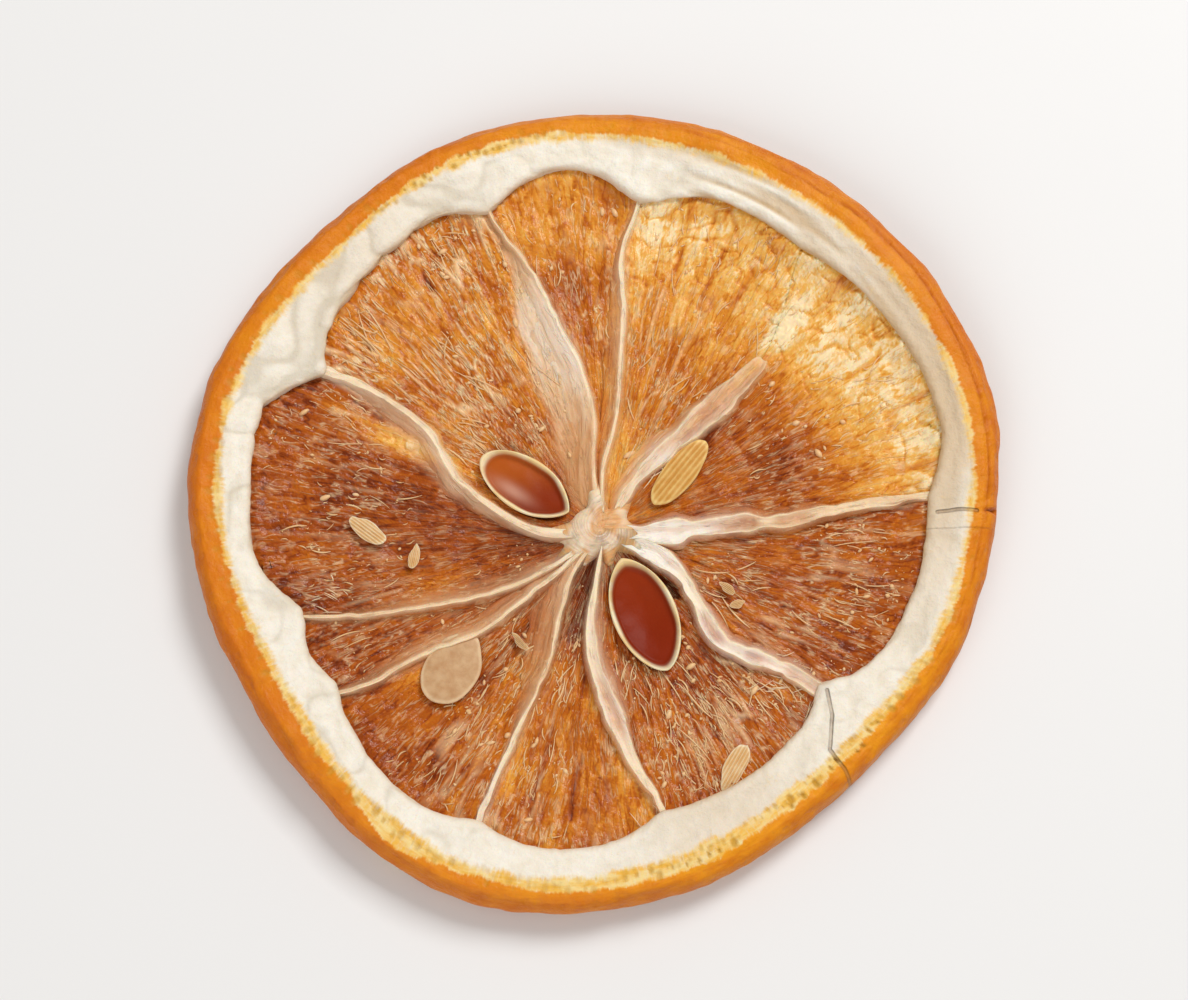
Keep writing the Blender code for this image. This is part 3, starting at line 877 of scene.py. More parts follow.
def flesh_finish(colours, name):
    """Dried pulp and the film over it.

    The juice runs from deep brown over amber to gold where it is thin, with pale fibres along the grain.
    The deep brown lies in the hollows, folds, holes and the groove beside the pith as painted shade, and
    thin crevice strokes are darkened as painted shadow; ridges are paler, partly the sacs' own walls and
    partly painted highlight, and the pale fibres also paint glints. Film hides it by the mesh's own measure,
    brown to white by its tone, and the cut edge of a membrane is cream.
    """
    finish = Finish(name)
    place = finish.place()
    grain = finish.field("grain", "Vector")
    gold, ridge, hollow = finish.field("gold"), finish.field("ridge"), finish.field("hollow")
    fibrous, film, cream = finish.field("fibrous"), finish.field("film"), finish.field("cream")
    tone, raised = finish.field("tone"), finish.field("thread")
    streak = finish.noise(finish.stretched(grain, (0.1, 1.0, 1.0)), 0.8 * MM, 3.0, 0.6, 0.4)
    thread = finish.noise(finish.stretched(grain, (0.14, 1.0, 1.0)), 0.3 * MM, 2.0, 0.5, 0.7)
    split = finish.noise(finish.stretched(grain, (0.16, 1.0, 1.0)), 0.42 * MM, 2.0, 0.5, 0.5)
    blotch = finish.noise(place, 2.6 * MM, 3.0, 0.6)
    gate = finish.noise(place, 0.9 * MM, 2.0, 0.5)
    fine = finish.noise(place, 0.16 * MM, 2.0, 0.6)

    # Pale fibres along the grain, which also paint the pulp's glints as painted highlights.
    pale_fibre_and_glint = (1.0 - abs(thread - 0.5) * 16.0).most(0.0) * gate.step(0.42, 0.6) * (fibrous * 0.75 + 0.25)
    # Painted shadow: thin crevice strokes darkened beside the fibres.
    painted_crevice_shade = (1.0 - abs(split - 0.48) * 16.0).most(0.0) * (1.0 - gate).step(0.42, 0.6)
    # Painted light and shade: ridges lighter, partly the sacs' paler walls and partly painted highlight;
    # hollows darker as painted shade.
    juice_tone = (
        gold + (blotch - 0.5) * 0.55 + (ridge - 0.25) * 0.3 + (streak - 0.5) * 0.6
        + (fine - 0.5) * 0.2 - hollow * 0.4 - fibrous * 0.05 - painted_crevice_shade * 0.22
    )
    juice = finish.ramp(
        juice_tone,
        [
            (0.0, colours.pulp_deep),
            (0.2, (0.36, 0.068, 0.004)),
            (0.42, colours.pulp_amber),
            (0.64, (0.73, 0.28, 0.028)),
            (0.84, colours.pulp_gold),
            (1.0, (0.94, 0.73, 0.43)),
        ],
    )
    # Fibres and raised threads lightened: partly their own pale colour, partly painted highlight.
    juice = finish.mix((pale_fibre_and_glint * 0.95).most(raised * 0.8), juice, (0.96, 0.72, 0.42))
    dry = finish.ramp(
        tone + (streak - 0.5) * 0.4 + (thread - 0.5) * 0.3,
        [
            (0.0, (0.46, 0.16, 0.045)),
            (0.3, colours.film),
            (0.6, colours.membrane),
            (0.85, (0.85, 0.71, 0.57)),
            (1.0, (0.92, 0.84, 0.74)),
        ],
    )
    cover = (film * (1.0 + (streak - 0.5) * 0.9 + (thread - 0.5) * 0.5)).least(0.96)
    colour = finish.mix(cover, juice, dry)
    colour = finish.mix(cream * (0.55 + fine * 0.6), colour, (0.92, 0.75, 0.5))
    height = streak * 0.3 + thread * 0.4 + fine * 0.2 + pale_fibre_and_glint * 0.5
    return finish.surface(
        base_color=colour,
        roughness=0.2 + film * 0.25 + hollow * 0.3 + (fine - 0.5) * 0.2,
        specular_ior_level=0.2,
        normal=finish.bump(height, 0.17 * MM),
        subsurface_weight=0.3,
        subsurface_radius=(1.0, 0.42, 0.15),
        subsurface_scale=0.4 * MM,
    )


def seed_finish(colours, name, deep, bright, sheen):
    """A cut seed: cream coat and rim, and a smooth skin inside, brighter to one end, partly as painted shade
    over its bulge, and with a painted highlight: a pale patch in place of a reflection.
    """
    finish = Finish(name)
    place = finish.place()
    inside, shade = finish.field("inside"), finish.field("shade")
    blotch = finish.noise(place, 1.4 * MM, 3.0, 0.5)
    fine = finish.noise(place, 0.2 * MM, 2.0, 0.6)
    coat = finish.mix(blotch.step(0.35, 0.6), colours.seed_coat, (0.9, 0.78, 0.52))
    # Skin lighter away from the tip, partly painted shade over its bulge.
    skin = finish.mix((shade + (blotch - 0.5) * 0.3).step(0.15, 1.0), deep, bright)
    # Painted highlight: a pale patch on the skin in place of a reflection.
    skin = finish.mix(finish.field("sheen") * sheen, skin, (0.8, 0.5, 0.38))
    return finish.surface(
        base_color=finish.mix(inside, coat, skin),
        roughness=0.55 - inside * 0.15,
        specular_ior_level=0.08,
        normal=finish.bump(fine * 0.3 + blotch * 0.7, 0.04 * MM),
        subsurface_weight=0.15,
        subsurface_radius=(1.0, 0.4, 0.15),
        subsurface_scale=0.3 * MM,
    )


def plain_finish(name, low, high, roughness, size=0.8 * MM, relief=0.04 * MM, tint=0.3):
    """A dry surface that varies between two colours: darker between ribs, as painted shade, and lighter at
    its edge.
    """
    finish = Finish(name)
    place = finish.place()
    blotch = finish.noise(place, size, 4.0, 0.6)
    fine = finish.noise(place, size * 0.2, 2.0, 0.6)
    return finish.surface(
        # Painted shade: darker in the valleys between the ribs.
        base_color=finish.mix(
            blotch.step(0.3, 0.7) * 0.35 + finish.field("edge") * 0.6 - finish.field("rib") * 0.5 + tint,
            low,
            high,
        ),
        roughness=roughness + (fine - 0.5) * 0.2,
        specular_ior_level=0.3,
        normal=finish.bump(blotch * 0.5 + fine * 0.5, relief),
        subsurface_weight=0.2,
        subsurface_radius=(1.0, 0.6, 0.3),
        subsurface_scale=0.3 * MM,
    )


def floor_finish(colours):
    """A plain pale tabletop."""
    finish = Finish("floor")
    soft = finish.noise(finish.place(), 30.0 * MM, 2.0)
    return finish.surface(
        base_color=finish.mix(soft, colours.floor, [c * 0.985 for c in colours.floor]),
        roughness=0.6 + (soft - 0.5) * 0.05,
    )


# ---------------------------------------------------------------------------------------------------
# Rind


def peel_band(angle, sizes):
    """Width of the peel's band seen from above."""
    width = np.full_like(angle, sizes.peel_band)
    for direction, more, half_width in BAND_SWELLS:
        width = width + more * bell(angle, direction, half_width)
    return width


def rind_section(angle, sizes):
    """The rind's outline in a radial cut, as (distance, height, depth into the peel).

    It runs from the pith's inner lip over its top, along the peel's band, round the shoulder on an
    ellipse, round the heel, back underneath and up the pith's wall. The depth is the way along the cut
    from where pith and peel meet, positive on the peel.
    """
    pith, peel = pith_distance(angle), outline_distance(angle)
    band = peel_band(angle, sizes)
    facing = np.maximum(np.cos(np.radians(wrapped(angle, SLANT_DIRECTION))), 0.0)
    shoulder = np.minimum(sizes.peel_round * (1.0 + SLANT_MORE * facing**3), band - 0.15 * MM)
    heel = 0.7 * sizes.peel_round
    parts = []
    share = np.linspace(0.0, 1.0, SECTION_POINTS["pith"])[None, :] ** 1.2
    distance = pith + (peel - band - pith) * share
    lip = PITH_LIP * np.maximum(1.0 - (distance - pith) / PITH_FALL, 0.0) ** 2.2
    lip = lip + 0.1 * MM * np.exp(-(distance - pith) / (0.12 * MM))
    hollow = 0.12 * MM * np.sin(math.pi * share) ** 2
    parts.append((distance, sizes.rim_top - lip - hollow, distance - (peel - band)))
    share = np.linspace(0.0, 1.0, SECTION_POINTS["band"] + 1)[None, 1:]
    distance = peel - band + (band - shoulder) * share
    parts.append((distance, np.broadcast_to(sizes.rim_top, distance.shape), distance - (peel - band)))
    turn = np.radians(np.linspace(90.0, 0.0, SECTION_POINTS["shoulder"] + 1)[None, 1:])
    drop = sizes.rim_top - sizes.peel_middle
    distance = peel - shoulder * (1.0 - np.cos(turn))
    height = sizes.peel_middle + drop * np.sin(turn)
    parts.append((distance, height, band - shoulder + (math.pi / 2.0 - turn) * (shoulder + drop) / 2.0))
    turn = np.radians(np.linspace(0.0, -90.0, SECTION_POINTS["heel"] + 1)[None, 1:])
    distance = peel - heel * (1.0 - np.cos(turn))
    height = sizes.peel_middle * (1.0 + np.sin(turn))
    parts.append((distance, height, BOTTOM_BAND - heel - turn * 0.0 + (math.pi / 2.0 + turn) * heel))
    share = np.linspace(0.0, 1.0, SECTION_POINTS["under"] + 1)[None, 1:]
    distance = peel - heel + (pith + 0.1 * MM - peel + heel) * share
    parts.append((distance, 0.0 * distance, distance - (peel - BOTTOM_BAND)))
    share = np.linspace(0.0, 1.0, SECTION_POINTS["wall"] + 2)[None, 1:-1]
    distance = pith + PITH_WALL_HOLLOW * np.sin(math.pi * share)
    height = (sizes.rim_top - PITH_LIP - 0.1 * MM) * share
    parts.append((distance, height, np.broadcast_to(-2.5 * MM, distance.shape)))
    rows = (len(angle), sum(part[0].shape[1] for part in parts))
    return [np.concatenate([np.broadcast_to(part[k], (rows[0], part[0].shape[1])) for part in parts], axis=1)
            for k in range(3)]


def gland_row(angle, depth, count, size, middle, seed):
    """A row of cut oil glands: how deep in a pit each point is, and how near a gland's rim.

    The ring is split into equal stretches, each with one gland whose place and size are random; some
    stretches have none.
    """
    pitch = 360.0 / count
    own = np.floor(angle / pitch)
    pit = np.zeros(np.broadcast(angle, depth).shape)
    rim = pit.copy()
    for step in (-1, 0, 1):
        cell = (own + step) % count
        chance = [lattice_random(seed + part, cell) for part in range(4)]
        centre = (own + step + 0.5 + (chance[0] - 0.5) * 0.8) * pitch
        along = np.radians(angle - centre) * (CUT_RADIUS - 2.0 * MM)
        across = depth - middle - 0.6 * MM * (chance[1] - 0.5)
        distance = np.hypot(along, across * 0.75) / (size * (0.6 + 0.8 * chance[2])) + 9.0 * (chance[3] < 0.2)
        pit = np.maximum(pit, smooth_step(1.3, 0.5, distance))
        rim = np.maximum(rim, smooth_step(2.4, 1.2, distance))
    return pit, rim * (1.0 - pit)


def gland_show(angle):
    """How plainly the oil glands show in a direction, from 0 to 1."""
    show = 0.12 + 0.0 * angle
    for direction, strength, half_width in GLAND_SHOWS:
        show = show + strength * bell(angle, direction, half_width)
    return np.clip(show, 0.0, 1.0)


def rind_surface(sizes):
    """Points and fields of the rind: its section carried round the core, pushed in and out by relief."""
    angle = np.linspace(0.0, 360.0, RIND_LINES, endpoint=False)[:, None]
    distance, height, depth = rind_section(angle, sizes)
    x, y = flat_places(angle, distance)
    points = curled(x, y, height)
    outward = normals(points, True)
    if np.einsum("ijk,ijk->", outward, points - points.mean(axis=(0, 1))) < 0.0:
        outward = -outward
    upper = height > sizes.peel_middle
    top_depth = np.where(upper, depth, 9.0)
    beaded = bell(angle, 112.0, 16.0)
    large, large_rim = gland_row(angle, top_depth, GLANDS, 0.2 * MM, 0.75 * MM, 71)
    small, small_rim = gland_row(angle, top_depth, 2 * GLANDS, 0.14 * MM, 0.4 * MM, 81)
    show = gland_show(angle)
    pit = np.maximum(large * (1.0 - beaded), small * (0.6 + 0.4 * beaded)) * show
    rim = np.maximum(large_rim * (1.0 - beaded), small_rim * beaded) * show
    px, py, pz = points[..., 0], points[..., 1], points[..., 2] * 1.0
    sway = 0.2 * MM * ring_noise(angle, depth, 1.4 * MM, 0.8 * MM, 5)
    sway = sway + 0.12 * MM * ring_noise(angle, 0.0 * depth, 0.5 * MM, 1.0, 6)
    soft = 0.35 * MM + 0.2 * MM * (1.0 - show)
    yellow = smooth_step(-soft, soft, depth + sway + 0.1 * MM * rim - 0.05 * MM)
    start = PALE_WIDTH + sway + 0.1 * MM * (rim + pit) - 0.35 * MM * (1.0 - show)
    start = start + (0.45 * bell(angle, 278.0, 45.0) + 0.8 * bell(angle, 236.0, 6.0)) * MM
    orange = smooth_step(-0.4 * MM, 0.35 * MM, depth - start)
    on_peel = smooth_step(0.0, 0.5 * MM, depth)
    wrinkled = bell(angle, 75.0, 22.0) + bell(angle, 330.0, 25.0)
    puffs = smooth_noise(px, py, pz, 1.7 * MM, 11)
    puffy = bell(angle, 140.0, 48.0) + 0.5 * bell(angle, 225.0, 25.0) + 0.4 * bell(angle, 340.0, 40.0)
    frayed = bell(angle, 62.0, 22.0) * ring_noise(angle, depth, 4.0 * MM, 0.35 * MM, 22)
    spongy = (
        0.1 * layered_noise(px, py, pz, 1.9 * MM, 12, 3)
        + 0.42 * puffy * (np.abs(puffs) - 0.3)
        + 0.14 * frayed
        + (0.06 + 0.08 * wrinkled) * ring_noise(angle, depth, 3.2 * MM, 0.7 * MM, 21)
        + 0.04 * smooth_noise(px, py, pz, 0.35 * MM, 31)
    )
    waxy = (
        0.15 * layered_noise(px, py, pz, 2.4 * MM, 41, 3)
        + 0.12 * ring_noise(angle, depth, 3.5 * MM, 0.8 * MM, 51)
        + 0.04 * ring_noise(angle, depth, 0.8 * MM, 0.8 * MM, 52)
        - 0.16 * pit
        + 0.05 * rim
    )
    slant = bell(angle, 25.0, 48.0)
    crease_place = peel_band(angle, sizes) * 0.55 + 0.15 * MM * ring_noise(angle, 0.0, 6.0 * MM, 1.0, 61)
    crease = slant * np.exp(-(((depth - crease_place) / (0.13 * MM)) ** 2)) * upper
    notch = np.exp(-((wrapped(angle, NOTCH_DIRECTION) / 0.3) ** 2))
    notch = notch * smooth_step(0.9 * MM, 1.8 * MM, top_depth)
    notch = notch * (top_depth < 8.0 * MM)
    inner = distance - pith_distance(angle)
    away = smooth_step(0.0, 1.0 * MM, inner)
    relief = spongy * (1.0 - on_peel) + waxy * on_peel - 0.12 * crease - 0.24 * away - 0.45 * notch
    relief = np.minimum(relief, 0.15 - 0.18 * away)
    relief = np.where(height < 0.3 * MM, np.minimum(relief, -0.02), relief) * MM
    points = points + outward * relief[..., None]
    points[..., 2] = np.maximum(points[..., 2], 0.0)
    side = smooth_step(0.9 * MM, 2.4 * MM, depth) * upper + (height <= sizes.peel_middle) * on_peel
    fields = {
        "orange": orange,
        "yellow": yellow,
        "pit": pit,
        # side also takes the crease and the notch, whose darkening is painted shade.
        "side": np.clip(side * 0.7 + crease + notch, 0.0, 1.0),
        # dull: the pith greyed where it dried see-through, towards 60, 293 and 130 degrees and at its inner
        # edge; on its right, about 20 degrees, it is also painted shade.
        "dull": 0.9 * bell(angle, 20.0, 32.0) * smooth_step(3.0 * MM, 1.2 * MM, inner)
        + 0.5 * bell(angle, 60.0, 18.0) * smooth_step(0.5 * MM, 1.6 * MM, inner) - 0.9 * frayed
        + 0.7 * np.exp(-np.maximum(inner, 0.0) / (0.14 * MM)) + 0.4 * bell(angle, 293.0, 16.0)
        + 0.25 * bell(angle, 130.0, 16.0),
        # sunk: painted shade, 1 in the creases between the pith's puffs.
        "sunk": np.clip(puffy * np.exp(-((puffs / 0.12) ** 2)) - 4.0 * spongy, 0.0, 1.0) * (1.0 - on_peel),
        # Painted light: where the peel is lightened towards 305 and 75 degrees.
        "warm": bell(angle, 305.0, 45.0) + 0.6 * bell(angle, 75.0, 30.0) + 0.0 * depth,
        "grain": np.stack(np.broadcast_arrays(np.radians(angle) * CUT_RADIUS, depth, 0.0 * depth), axis=-1),
    }
    return points, fields


# ---------------------------------------------------------------------------------------------------
# Pulp


def cell_fields(index, share, angle, distance, x, y):
    """How golden and how fibrous the pulp is: a cell's own values, patches of other colour, and noise."""
    row = CELL_ROWS[index % CELLS]
    gold = np.interp(share, (0.2, 0.55, 0.72, 0.92), (row[3], row[4], 0.6 * row[4] + 0.4 * row[5], row[5]))
    for direction, place, half_angle, half_length, change in PATCHES:
        gold = gold + change * bell(angle, direction, half_angle) * np.exp(
            -(((distance - place) / half_length) ** 2)
        )
    gold = gold + 0.12 * layered_noise(x, y, 0.0 * x, 3.5 * MM, 91, 3)
    rough = smooth_step(-0.35, 0.25, smooth_noise(x, y, 0.0 * x, 4.0 * MM, 92))
    return gold, row[6] * (0.3 + 0.7 * rough)


def fold_depth(angle, distance):
    """1 in the folds of the pulp, which are sunk and painted darker as shade, 0 elsewhere: a bell across each
    and a soft start and end.
    """
    deep = 0.0 * distance
    sway = 0.35 * MM * smooth_noise(distance / (2.5 * MM), angle / 20.0, 0.0 * distance, 1.0, 95)
    for direction, start, end in SEAMS:
        across = np.radians(wrapped(angle, direction)) * distance + sway
        reach = smooth_step(start, start + 1.5 * MM, distance) * smooth_step(end, end - 0.8 * MM, distance)
        deep = np.maximum(deep, reach * np.exp(-((across / (0.22 * MM)) ** 2)))
    return deep


def grain_places(angle, distance):
    """Coordinates along and across the rays; across, the scale is true at half the slice's radius."""
    return distance, np.radians(angle) * 0.5 * CUT_RADIUS


def film_width(index, side, share, distance):
    """How far a membrane's film reaches beyond its cut edge, on its clockwise (0) or other (1) side."""
    row = MEMBRANES[index % CELLS]
    widest, place, spread = (row.right, row.left)[side][:3]
    swell = np.exp(-np.abs((distance - place) / spread) ** 2.5)
    return (0.15 * MM + widest * swell) * ragged(share, 14.0, index % CELLS + 20 * side, 0.2)


def film_cover(index, side, share, distance, gap):
    """How far the film hides the pulp at a distance beyond a membrane's cut edge."""
    row = MEMBRANES[index % CELLS]
    most, crisp = (row.right, row.left)[side][3:]
    there = smooth_step(row.end + 0.6 * MM, row.end - 0.6 * MM, distance)
    reach = gap / film_width(index, side, share, distance)
    return most * there * smooth_step(1.35 - 0.25 * crisp, 0.2 + 0.6 * crisp, reach)


def film_tone(index, distance):
    """How pale a membrane and its film are at a distance from the core."""
    row = MEMBRANES[index % CELLS]
    return np.interp(distance, BAND_PLACES, row.tone)


def ragged(share, size, seed, amount):
    """Numbers about 1 that vary along a membrane."""
    return 1.0 + amount * smooth_noise(share * size, 0.0 * share + seed * 1.7, 0.0 * share, 1.0, 511)


def pulp_relief(x, y, angle, distance, gold, fibrous, spacing, seed):
    """Relief of the dried juice sacs, in millimetres, and where its ridges and hollows are.

    Large and small spindle-shaped cells, each sunk by its own amount; the walls between the large ones
    stand up a little, threads drawn out along the rays stand up more where the pulp is fibrous, noise
    crumples the whole, and thin golden pulp is folded.
    """
    flat = 0.0 * x
    bend_x = x + 0.3 * MM * smooth_noise(x, y, flat, 1.6 * MM, seed + 7)
    bend_y = y + 0.3 * MM * smooth_noise(x, y, flat, 1.6 * MM, seed + 8)
    near, far, own = spindle_cells(bend_x, bend_y, spacing, 7.5, seed, 0.35, 4)
    wall = np.exp(-(((far - near) / 0.13) ** 2))
    near_small, far_small, own_small = spindle_cells(bend_x, bend_y, spacing * 0.42, 6.0, seed + 20, 0.6)
    wall_small = np.exp(-(((far_small - near_small) / 0.2) ** 2))
    along, around = grain_places(angle, distance)
    around = around + 0.16 * MM * smooth_noise(x, y, flat, 3.0 * MM, seed + 29)
    threads = flat
    for layer, (length, width) in enumerate(((8.0 * MM, 0.5 * MM), (4.0 * MM, 0.34 * MM))):
        line = smooth_noise(along / length, around / width, flat, 1.0, seed + 30 + layer)
        line = np.clip(1.0 - np.abs(line) * 7.0, 0.0, 1.0)
        shown = smooth_noise(x, y, flat, 2.2 * MM, seed + 33 + layer)
        shown = smooth_step(0.1 - 0.6 * fibrous, 0.4 - 0.3 * fibrous, shown)
        threads = np.maximum(threads, line * shown)
    crumple = layered_noise(x, y, flat, 2.0 * MM, seed + 40, 3)
    thin = smooth_step(0.68, 0.95, gold)
    curl_x = x + 0.9 * MM * smooth_noise(x, y, flat, 1.3 * MM, seed + 51)
    curl_y = y + 0.9 * MM * smooth_noise(x, y, flat, 1.3 * MM, seed + 52)
    folds = smooth_noise(0.6 * curl_x, 1.3 * curl_y, flat, 0.9 * MM, seed + 50)
    folds = thin * np.clip(1.0 - np.abs(folds) * 5.0, 0.0, 1.0)
    relief = (
        0.11 * (own - 0.5) + 0.06 * wall * own + 0.07 * wall_small * own_small * (0.4 + 0.6 * fibrous)
        + 0.06 * (own_small - 0.5) + 0.15 * threads * fibrous + (0.24 - 0.1 * fibrous) * crumple
        - 0.05 * near - 0.14 * folds
    )
    ridge = np.clip(0.4 * wall * own + 0.4 * wall_small * own_small, 0.0, 1.0)
    hollow = np.clip(0.5 - near * 0.5 - 1.1 * own, 0.0, 1.0) * 0.6 * (1.0 - thin) + 1.1 * folds
    return relief, ridge, hollow, threads * fibrous


def hole_depth(angle, distance):
    """1 in the small holes beside the core, 0 elsewhere."""
    deep = np.zeros_like(distance)
    for direction, place, half_angle, half_length in HOLES:
        reach = (wrapped(angle, direction) / half_angle) ** 2 + ((distance - place) / half_length) ** 2
        deep = np.maximum(deep, smooth_step(1.5, 0.5, reach))
    return deep


def seed_well(x, y):
    """1 under the cut seeds, 0 elsewhere."""
    deep = np.zeros_like(x)
    for seed_x, seed_y, turn, half_length, half_width in CUT_SEEDS.values():
        cos, sin = math.cos(math.radians(turn)), math.sin(math.radians(turn))
        along = (x - seed_x) * cos + (y - seed_y) * sin
        across = (y - seed_y) * cos - (x - seed_x) * sin
        reach = np.hypot(along / half_length, across / half_width)
        deep = np.maximum(deep, smooth_step(1.0, 0.85, reach))
    return deep


def panel_grid(index, rows, columns):
    """Directions and shares of a cell's grid, from its tip under the core into the pith."""
    share = np.linspace(0.03, 1.06, rows)[:, None]
    across = np.linspace(0.0, 1.0, columns)[None, :]
    start, end = membrane_angle(index, share), membrane_angle(index + 1, share)
    return start + (end - start) * across, share + 0.0 * across, across + 0.0 * share


def pulp_height(index, angle, share, across, sizes, upper):
    """Places, height and fields of one side of a cell's pulp."""
    pith = pith_distance(angle)
    distance = share * pith
    x, y = flat_places(angle, distance)
    gold, fibrous = cell_fields(index, share, angle, distance, x, y)
    relief, ridge, hollow, thread = pulp_relief(
        x, y, angle, distance, gold, fibrous, sizes.vesicle, 100 if upper else 300
    )
    sag = sizes.pulp_sag * np.sin(math.pi * np.clip(share, 0.0, 1.0)) * (1.0 - (2.0 * across - 1.0) ** 2)
    gap = np.maximum(pith - distance, 0.0)
    # groove: a dip in the pulp beside the pith, which the hollow field also paints as shadow.
    groove = np.exp(-((gap / (0.2 * MM)) ** 2)) * (0.05 + 0.4 * bell(angle, 150.0, 60.0))
    holes = hole_depth(angle, distance)
    fold = fold_depth(angle, distance)
    strength = smooth_step(0.06, 0.3, share)
    start, end = membrane_angle(index, share), membrane_angle(index + 1, share)
    span = np.radians(end - start) * distance
    covers = [
        film_cover(beside, side, share, distance, reach - 0.2 * MM)
        for beside, side, reach in ((index, 1, span * across), (index + 1, 0, span * (1.0 - across)))
    ]
    film = np.maximum(*covers)
    tone = np.where(covers[0] > covers[1], film_tone(index, distance), film_tone(index + 1, distance))
    if upper:
        climb = (0.15 + 0.4 * bell(angle, 50.0, 60.0)) * np.exp(-((gap / (0.9 * MM)) ** 2))
        uneven = (relief * strength - 0.05 - 0.15 * fold + climb) * MM
        height = sizes.pulp_top - sag - 0.25 * MM * groove + uneven
        height = height - 0.5 * MM * holes
        height = height + (np.minimum(height, 1.0 * MM) - height) * seed_well(x, y)
    else:
        height = sizes.pulp_bottom + sag * 0.4 + 0.2 * MM * groove - 0.8 * relief * strength * MM
        height = np.minimum(height, 0.95 * MM)
    fields = {
        "gold": gold,
        "ridge": ridge,
        "fibrous": fibrous,
        "film": film,
        "tone": tone - 0.15,
        "cream": 0.0 * gold,
        "thread": thread,
        # Painted shade: the pulp darkened in its cells' hollows, the groove beside the pith, the holes and
        # the folds.
        "hollow": np.clip(0.6 * hollow + 0.25 * groove + holes + 0.8 * fold, 0.0, 1.0) * (1.0 - film),
        "grain": np.stack([*grain_places(angle, distance), 0.0 * angle], axis=-1),
    }
    return x, y, np.clip(height, 0.15 * MM, None), fields


def pulp_side(*arguments):
    """One sheet of pulp, lifted where the slice has curled up."""
    x, y, height, fields = pulp_height(*arguments)
    return curled(x, y, height), fields


def pulp_panel(index, sizes):
    """One cell's pulp: a top sheet and an underside joined along the cell's edges."""
    directions = [membrane_angle(index + side, np.array([0.8]))[0] for side in (0, 1)]
    width = math.radians(directions[1] - directions[0]) * 18.0 * MM
    rows = int(21.0 * MM / sizes.grain)
    columns = max(int(width / sizes.grain), 24)
    top, top_fields = pulp_side(index, *panel_grid(index, rows, columns), sizes, True)
    angle, share, across = panel_grid(index, rows, columns // 2)
    under, under_fields = pulp_side(index, angle[:, ::-1], share, across[:, ::-1], sizes, False)
    fields = {
        name: np.concatenate([top_fields[name], under_fields[name]], axis=1) for name in top_fields
    }
    return np.concatenate([top, under], axis=1), fields


# ---------------------------------------------------------------------------------------------------
# Membranes and core


def membrane_path(index, share):
    """Plan places of a membrane's crest, with a slow wave, the slope of its path, and distances."""
    angle = membrane_angle(index, share)
    distance = share * pith_distance(angle)
    still = 0.0 * share
    wave = 0.12 * MM * smooth_noise(share * 9.0, still + index * 3.7, still, 1.0, 501)
    wave = wave + 0.06 * MM * smooth_noise(share * 28.0, still + index * 3.7, still, 1.0, 502)
    turn = np.radians(angle)
    wave = wave * smooth_step(0.1, 0.3, share)
    x, y = flat_places(angle, distance)
    x, y = x - wave * np.sin(turn), y + wave * np.cos(turn)
    slope = np.stack([np.gradient(x), np.gradient(y)])
    slope = slope / np.linalg.norm(slope, axis=0)
    return x, y, slope, distance


def membrane_section(sizes, half, right, left, ridge, low_ridge):
    """Section points across a membrane: columns of (sideways offset, height, way out, across, top, side).

    From its right foot up the right film to the cut edge, whose middle lies a little lower than its two
    rims, down the left film, and back along the lower edge. The film hangs in a curve that steepens
    towards the cut edge.
    """
    low_foot = sizes.pulp_bottom + 0.3 * MM
    slide = np.linspace(0.0, 1.0, 25)[1:] ** 1.3

    def drape(t, width):
        foot = sizes.pulp_top - 0.2 * MM - 0.35 * MM * smooth_step(0.8 * MM, 3.0 * MM, width)
        return foot + (ridge - foot) * (1.0 - t) ** 1.25

    columns = [(-half - right * t, drape(t, right), t, 0.0, 1.0, -1.0) for t in slide[::-1]]
    for u in np.linspace(-1.0, 1.0, 13):
        dip = np.minimum(0.3 * half, 0.15 * MM) * (1.0 - u * u)
        columns.append((half * u, ridge - dip, 0.0, u, 1.0, u))
    columns += [(half + left * t, drape(t, left), t, 0.0, 1.0, 1.0) for t in slide]
    under = np.linspace(1.0, 0.0, 7)
    rise = low_foot - low_ridge
    columns += [(half * 0.7 + left * 0.8 * t, low_ridge + rise * t, t, 0.0, 0.0, 1.0) for t in under]
    columns += [(-half * 0.7 - right * 0.8 * t, low_ridge + rise * t, t, 0.0, 0.0, -1.0) for t in under[::-1]]
    return [np.stack([column[part] + 0.0 * half for column in columns], axis=1) for part in range(6)]


